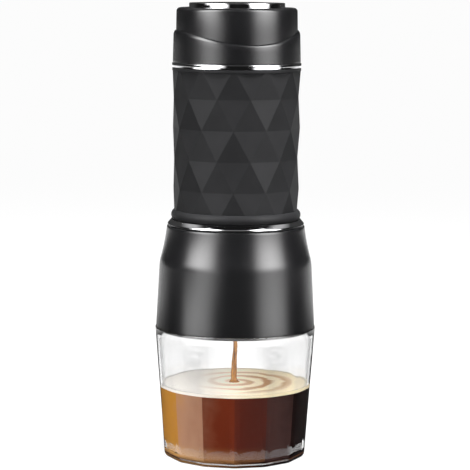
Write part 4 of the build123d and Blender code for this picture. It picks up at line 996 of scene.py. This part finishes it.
class ESPRESSO_OT_grip(bpy.types.Operator):
    """Make the rubber sleeve: facets, smooth band at the top and rolled lip at the foot"""

    bl_idname = "espresso.grip"
    bl_label = "Grip sleeve"

    def execute(self, context):
        grip = context.scene.espresso_grip
        bore = reach("tank_jacket") + PUSH_FIT
        rubber = scene_material("grip_rubber")
        facets = self.faceted_tube(grip, bore)
        add_piece("grip_facets", facets, rubber, "tank", "grip_rubber", "grip_sleeve",
                  sharp=FACET_SHARP)
        band_foot = SLEEVE_TOP - grip.band
        outer = bore + grip.wall + grip.taper + grip.band_step
        band = turned([
            (bore, band_foot), (outer - grip.wall / 2, band_foot),
            (outer, band_foot + SMALL_EDGE, SMALL_EDGE / 2), (outer, SLEEVE_TOP, SMALL_EDGE),
            (bore, SLEEVE_TOP),
        ])
        add_piece("grip_band", band, rubber, "tank", "grip_rubber", "grip_sleeve")
        neck = bore + grip.lip_neck
        bulge = 2 * math.atan2(reach("grip_sleeve") - neck, grip.lip / 2)
        lip_top = SLEEVE_FOOT + grip.lip
        bead, _ = tangent_arc((neck, SLEEVE_FOOT), math.pi / 2 - bulge, (neck, lip_top), LIP_STEPS)
        lip = turned([(bore, SLEEVE_FOOT), (neck, SLEEVE_FOOT), *bead, (bore, lip_top)])
        add_piece("grip_lip", lip, rubber, "tank", "grip_rubber", "grip_sleeve")
        return {"FINISHED"}

    def faceted_tube(self, grip, bore):
        """Rows of flat triangles round a bore: each row is a ring turned by half a facet.

        The top row starts above the sleeve and is cut level; the last one ends inside the lip.
        """
        start = SLEEVE_TOP + grip.band / 3
        end = SLEEVE_FOOT + grip.lip / 8
        drop = (start - end) / grip.row_count
        half = math.pi / grip.corner_count

        def corner_radius(height):
            share_up = (height - SLEEVE_FOOT) / (SLEEVE_TOP - SLEEVE_FOOT)
            return bore + grip.wall + grip.taper * share_up

        mesh = bmesh.new()
        circle = bmesh.ops.create_circle(
            mesh, segments=grip.corner_count, radius=corner_radius(start), cap_ends=False,
        )["verts"]
        first = grip.first_turn - math.atan2(circle[0].co.y, circle[0].co.x)
        bmesh.ops.rotate(mesh, verts=circle, cent=(0, 0, 0), matrix=Matrix.Rotation(first, 3, "Z"))
        bmesh.ops.translate(mesh, verts=circle, vec=(0, 0, start))
        ring = mesh.edges[:]
        for row in range(grip.row_count):
            made = bmesh.ops.extrude_edge_only(mesh, edges=ring)["geom"]
            verts = [part for part in made if isinstance(part, bmesh.types.BMVert)]
            ring = [edge for edge in made if isinstance(edge, bmesh.types.BMEdge)
                    and all(vert in verts for vert in edge.verts)]
            turn = Matrix.Rotation(half if row % 2 == 0 else -half, 3, "Z")
            high = start - drop * row
            size = corner_radius(high - drop) / corner_radius(high)
            bmesh.ops.rotate(mesh, verts=verts, cent=(0, 0, 0), matrix=turn)
            bmesh.ops.scale(mesh, verts=verts, vec=(size, size, 1))
            bmesh.ops.translate(mesh, verts=verts, vec=(0, 0, -drop))
        bmesh.ops.triangulate(mesh, faces=mesh.faces, quad_method="SHORT_EDGE")
        inner = [edge for edge in mesh.edges if len(edge.link_faces) == 2]
        bmesh.ops.bevel(
            mesh, geom=inner, offset=grip.facet_round, offset_type="OFFSET", segments=1,
            profile=0.5, affect="EDGES", material=-1, clamp_overlap=True,
        )
        bmesh.ops.bisect_plane(
            mesh, geom=mesh.verts[:] + mesh.edges[:] + mesh.faces[:], dist=TOUCH,
            plane_co=(0, 0, SLEEVE_TOP), plane_no=(0, 0, 1), clear_outer=True,
        )
        self.line_with_bore(mesh, bore, SLEEVE_TOP, end)
        return mesh

    def line_with_bore(self, mesh, bore, start, end):
        """Closes the facets over a round bore."""
        rims = [edge for edge in mesh.edges if len(edge.link_faces) == 1]
        for height in (start, end):
            circle = bmesh.ops.create_circle(
                mesh, segments=SPIN_STEPS, radius=bore, cap_ends=False,
            )["verts"]
            bmesh.ops.translate(mesh, verts=circle, vec=(0, 0, height))
            inside = list({edge for vert in circle for edge in vert.link_edges})
            outside = [edge for edge in rims if abs(edge.verts[0].co.z - height) < MM]
            # Between loops in one plane a bridge would now and then run crosswise.
            bmesh.ops.triangle_fill(mesh, edges=inside + outside, use_beauty=True)
        open_edges = [edge for edge in mesh.edges if len(edge.link_faces) == 1]
        bmesh.ops.bridge_loops(mesh, edges=open_edges)
        bmesh.ops.recalc_face_normals(mesh, faces=mesh.faces)


class ESPRESSO_OT_head(bpy.types.Operator):
    """Make the shell of the brewing head: flare, crease, skirt and the ribs inside"""

    bl_idname = "espresso.head"
    bl_label = "Brewing head"

    def execute(self, context):
        shell, cup = context.scene.espresso_shell, context.scene.espresso_cup
        wall = shell.head_wall
        neck = reach("base_trim_ring") + shell.head_gap
        spigot_foot = foot("brew_housing")
        spigot = CUP_LIP - cup.wall - shell.spigot_gap
        plate_under = HEAD_TOP - PLATE
        ledge = CUP_TOP + wall
        opening = shell.neck_opening
        outside = self.side(neck, reach("brew_housing"), shell, 0)
        inside = self.side(neck, reach("brew_housing"), shell, wall)[1:]
        inside = [point for point in inside if point[1] < plate_under]
        mesh = turned([
            (opening, HEAD_TOP, SMALL_EDGE), (neck, HEAD_TOP, shell.head_round),
            *reversed(outside[1:-1]), (*outside[0], MOULD_EDGE), (spigot, CUP_TOP),
            (spigot, spigot_foot, MOULD_EDGE),
            (spigot - wall, spigot_foot, MOULD_EDGE), (spigot - wall, ledge),
            (outside[0][0] - wall, ledge), *inside, (inside[-1][0], plate_under),
            (opening, plate_under),
        ])
        self.add_ribs(mesh, neck + shell.crease_width - wall, ledge, HEAD_TOP - shell.crease_drop)
        add_piece("head_shell", mesh, scene_material("black_shell"), "head", "black_shell",
                  "brew_housing")
        return {"FINISHED"}

    def side(self, neck, skirt_foot, shell, inset):
        """Points up the skirt, over the crease and up the flare to the neck, moved in by inset."""
        low = (skirt_foot - inset, CUP_TOP)
        crease = (neck + shell.crease_width - inset, HEAD_TOP - shell.crease_drop)
        flare_foot = (neck + shell.flare_width - inset, HEAD_TOP - shell.flare_drop)
        heading = math.atan2(crease[1] - low[1], crease[0] - low[0])
        over, heading = tangent_arc(crease, heading, flare_foot, CREASE_STEPS)
        flare, _ = tangent_arc(flare_foot, heading, (neck - inset, HEAD_TOP), FLARE_STEPS)
        return [low, crease, *over, *flare]

    def add_ribs(self, mesh, radius, low, high, count=8):
        """Upright ribs inside the skirt, which start a little way inside its wall."""
        depth, thickness, inward = 3.9 * MM, 1.2 * MM, 1.5 * MM
        for number in range(count):
            rib = bmesh.ops.create_cube(mesh, size=1)["verts"]
            bmesh.ops.scale(mesh, verts=rib, vec=(depth, thickness, high - low))
            bmesh.ops.translate(mesh, verts=rib, vec=(radius - inward, 0, (high + low) / 2))
            turn = Matrix.Rotation(math.tau * (number + 0.5) / count, 3, "Z")
            bmesh.ops.rotate(mesh, verts=rib, cent=(0, 0, 0), matrix=turn)


class ESPRESSO_OT_cup(bpy.types.Operator):
    """Make the clear cup with its flat sides and round lip"""

    bl_idname = "espresso.cup"
    bl_label = "Cup"

    def execute(self, context):
        cup = context.scene.espresso_cup
        low = CUP_LIP - cup.taper
        recess, foot_ring = TABLE + cup.recess, low - cup.foot_width
        band = CUP_TOP - cup.lip_band
        outer_start, inner_start = TABLE + 3 * MM, TABLE + 5 * MM  # above the rounded corners
        mesh = turned([
            (0, recess), (foot_ring, recess), (foot_ring, TABLE, 1.5 * SMALL_EDGE),
            (low, TABLE, cup.foot_round), *cup_side(cup, 0, outer_start, band - MM, band),
            (CUP_LIP, CUP_TOP, cup.lip_round), (CUP_LIP - cup.wall, CUP_TOP, cup.lip_round),
            *reversed(cup_side(cup, cup.wall, inner_start, band - MM, band)),
            (low - cup.wall, TABLE + cup.floor, cup.inner_round), (0, TABLE + cup.floor),
        ])
        flatten_sides(mesh, cup)
        add_piece("clear_cup", mesh, scene_material("clear_cup"), "cup", "clear_cup", "cup")
        return {"FINISHED"}


def cup_radius(cup, height):
    """Outer radius of the cup's round form at a height."""
    return CUP_LIP - cup.taper * (CUP_TOP - height) / (CUP_TOP - TABLE)


def cup_side(cup, inset, *heights):
    """Points up the side of the cup, moved in by inset."""
    return [(cup_radius(cup, height) - inset, height) for height in heights]


def flatten_sides(mesh, cup):
    """Presses the cup, or what lies inside it, onto flats that fade out at its round lip band."""
    sector = math.tau / cup.side_count
    tall = CUP_TOP - cup.lip_band - TABLE
    for vert in mesh.verts:
        depth = cup.flat_depth * max(0, 1 - (vert.co.z - TABLE) / tall)
        off_middle = math.remainder(math.atan2(vert.co.x, -vert.co.y) - sector / 2, sector)
        press = min(1, (1 - depth / cup_radius(cup, vert.co.z)) / math.cos(off_middle))
        vert.co.x *= press
        vert.co.y *= press


class ESPRESSO_OT_coffee(bpy.types.Operator):
    """Pour the coffee: body, crema and the stream into the cup"""

    bl_idname = "espresso.coffee"
    bl_label = "Coffee"

    def execute(self, context):
        cup, coffee = context.scene.espresso_cup, context.scene.espresso_coffee
        into_wall, into_floor = 0.08 * MM, 0.05 * MM  # so that no film of air is seen round it
        wet = cup.wall - into_wall
        floor, crema_foot = TABLE + cup.floor - into_floor, coffee.level - coffee.crema_depth
        count = 6
        rows = [floor + (crema_foot - floor) * step / count for step in range(2, count + 1)]
        body = turned([
            (0, floor), (cup_radius(cup, TABLE) - wet, floor, cup.inner_round),
            *cup_side(cup, wet, *rows), (0, crema_foot),
        ])
        flatten_sides(body, cup)
        add_piece("coffee_body", body, scene_material("coffee"), "cup", "coffee", "coffee",
                  sharp=FACET_SHARP)
        rim = cup_radius(cup, coffee.level) - wet
        climb, climb_width = 0.25 * MM, 1.2 * MM  # the foam rises to the wall
        foam = turned([
            (0, crema_foot), *cup_side(cup, wet, crema_foot),
            (rim, coffee.level + climb, SMALL_EDGE), (rim - climb_width, coffee.level),
            (0, coffee.level),
        ])
        flatten_sides(foam, cup)
        add_piece("crema", foam, crema_foam(coffee, cup), "cup", "coffee", "coffee")
        self.add_stream(coffee)
        return {"FINISHED"}

    def add_stream(self, coffee):
        """A wavering thread from the outlet down to the foam, with a small splash at its foot."""
        start = foot("outlet_nozzle") + MM
        end = coffee.level - 0.3 * MM
        radius = coffee.stream_width / 2
        mesh = bmesh.new()
        ring = bmesh.ops.create_circle(mesh, segments=16, radius=radius, cap_ends=False)["verts"]
        bmesh.ops.translate(mesh, verts=ring, vec=(0, 0, start))
        edges = first = mesh.edges[:]
        for step in range(1, STREAM_STEPS + 1):
            made = bmesh.ops.extrude_edge_only(mesh, edges=edges)["geom"]
            verts = [part for part in made if isinstance(part, bmesh.types.BMVert)]
            edges = [edge for edge in made if isinstance(edge, bmesh.types.BMEdge)
                     and all(vert in verts for vert in edge.verts)]
            along = step / STREAM_STEPS
            middle = sum((vert.co for vert in verts), Vector()) / len(verts)
            sway, width = self.stream_form(along)
            target = Vector((sway, 0, start + (end - start) * along))
            spread = radius * width / (verts[0].co - middle).length
            for vert in verts:
                vert.co = target + (vert.co - middle) * spread
        bmesh.ops.contextual_create(mesh, geom=first)
        bmesh.ops.contextual_create(mesh, geom=edges)
        bmesh.ops.recalc_face_normals(mesh, faces=mesh.faces)
        stream = add_piece("coffee_stream", mesh, running_coffee(coffee), None, None)
        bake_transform(stream)

    def stream_form(self, along):
        """Sideways sway and share of the full width, from 0 at the outlet to 1 at the foam."""
        sway = 0.3 * MM * math.sin(5.0 * along + 0.6)
        waist = 0.26 * math.sin(math.pi * min(1, 1.3 * along))
        splash = max(0, along - 0.93) / 0.07
        return sway, 1 - waist + 1.3 * splash**2


class ESPRESSO_OT_springs(bpy.types.Operator):
    """Make the return spring and the outlet valve's spring"""

    bl_idname = "espresso.springs"
    bl_label = "Springs"

    def execute(self, context):
        self.add_spring("return_coil", "return_spring", "washer", turns=5, wire=0.6 * MM)
        self.add_spring("outlet_coil", "outlet_spring", "valve_ball", turns=4, wire=0.25 * MM)
        return {"FINISHED"}

    def add_spring(self, name, node, mover, turns, wire):
        """A helix of wire of that radius, made where the CAD node stands; mover is not used."""
        low, high = foot(node), top(node)
        middle = reach(node) - wire
        mesh = bmesh.new()
        circle = bmesh.ops.create_circle(mesh, segments=10, radius=wire, cap_ends=False)["verts"]
        upright = Matrix.Rotation(math.pi / 2, 3, "X")
        bmesh.ops.rotate(mesh, verts=circle, cent=(0, 0, 0), matrix=upright)
        bmesh.ops.translate(mesh, verts=circle, vec=(middle, 0, low + wire))
        steps = 36 * turns
        rise = (high - low - 2 * wire) / steps
        bmesh.ops.spin(
            mesh, geom=mesh.verts[:] + mesh.edges[:], cent=(0, 0, 0), axis=(0, 0, 1),
            dvec=(0, 0, rise), angle=math.tau * turns, steps=steps, use_merge=False,
            use_duplicate=False,
        )
        ends = [edge for edge in mesh.edges if len(edge.link_faces) == 1]
        bmesh.ops.holes_fill(mesh, edges=ends, sides=0)
        bmesh.ops.recalc_face_normals(mesh, faces=mesh.faces)
        spring = add_piece(name, mesh, scene_material("stainless_steel"), None, None, node)
        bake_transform(spring)


class ESPRESSO_OT_carried_nodes(bpy.types.Operator):
    """Give every CAD piece that is still shown the finish of its material slot"""

    bl_idname = "espresso.carried_nodes"
    bl_label = "Inner pieces"

    def execute(self, context):
        slots = {part["node"]: part["material_slot"] for part in frame["record"]["subparts"]}
        for name, node in frame["nodes"].items():
            for place in node.material_slots:
                place.material = scene_material(slots[name])
        return {"FINISHED"}


# ---- Panel and registration -------------------------------------------------------------------
OPERATORS = (
    ESPRESSO_OT_stage, ESPRESSO_OT_knob, ESPRESSO_OT_collar, ESPRESSO_OT_trims, ESPRESSO_OT_grip,
    ESPRESSO_OT_head, ESPRESSO_OT_cup, ESPRESSO_OT_coffee, ESPRESSO_OT_springs,
    ESPRESSO_OT_carried_nodes,
)
GROUPS = {
    "espresso_stage": StageSettings, "espresso_shell": ShellSettings, "espresso_trim": TrimSettings,
    "espresso_grip": GripSettings, "espresso_cup": CupSettings, "espresso_coffee": CoffeeSettings,
    "espresso_inside": InsideSettings,
}


class ESPRESSO_PT_sidebar(bpy.types.Panel):
    """Lists the pieces and their settings"""

    bl_idname = "ESPRESSO_PT_sidebar"
    bl_label = "Espresso maker"
    bl_space_type = "VIEW_3D"
    bl_region_type = "UI"
    bl_category = "Espresso maker"

    def draw(self, context):
        for operator in OPERATORS:
            self.layout.operator(operator.bl_idname)
        for name, group in GROUPS.items():
            box = self.layout.box()
            box.label(text=group.__doc__)
            for key in group.__annotations__:
                box.prop(getattr(context.scene, name), key)


def register():
    for group in GROUPS.values():
        bpy.utils.register_class(group)
    for shown in (*OPERATORS, ESPRESSO_PT_sidebar):
        bpy.utils.register_class(shown)
    for name, group in GROUPS.items():
        setattr(bpy.types.Scene, name, PointerProperty(type=group))


def unregister():
    for name in GROUPS:
        delattr(bpy.types.Scene, name)
    for shown in (ESPRESSO_PT_sidebar, *reversed(OPERATORS)):
        bpy.utils.unregister_class(shown)
    for group in GROUPS.values():
        bpy.utils.unregister_class(group)


def main():
    """Registers the add-on and makes every piece."""
    register()
    bpy.ops.espresso.stage()
    bpy.ops.espresso.carried_nodes()
    bpy.ops.espresso.knob()
    bpy.ops.espresso.collar()
    bpy.ops.espresso.trims()
    bpy.ops.espresso.grip()
    bpy.ops.espresso.head()
    bpy.ops.espresso.cup()
    bpy.ops.espresso.coffee()
    bpy.ops.espresso.springs()


if __name__ == "__main__":
    main()
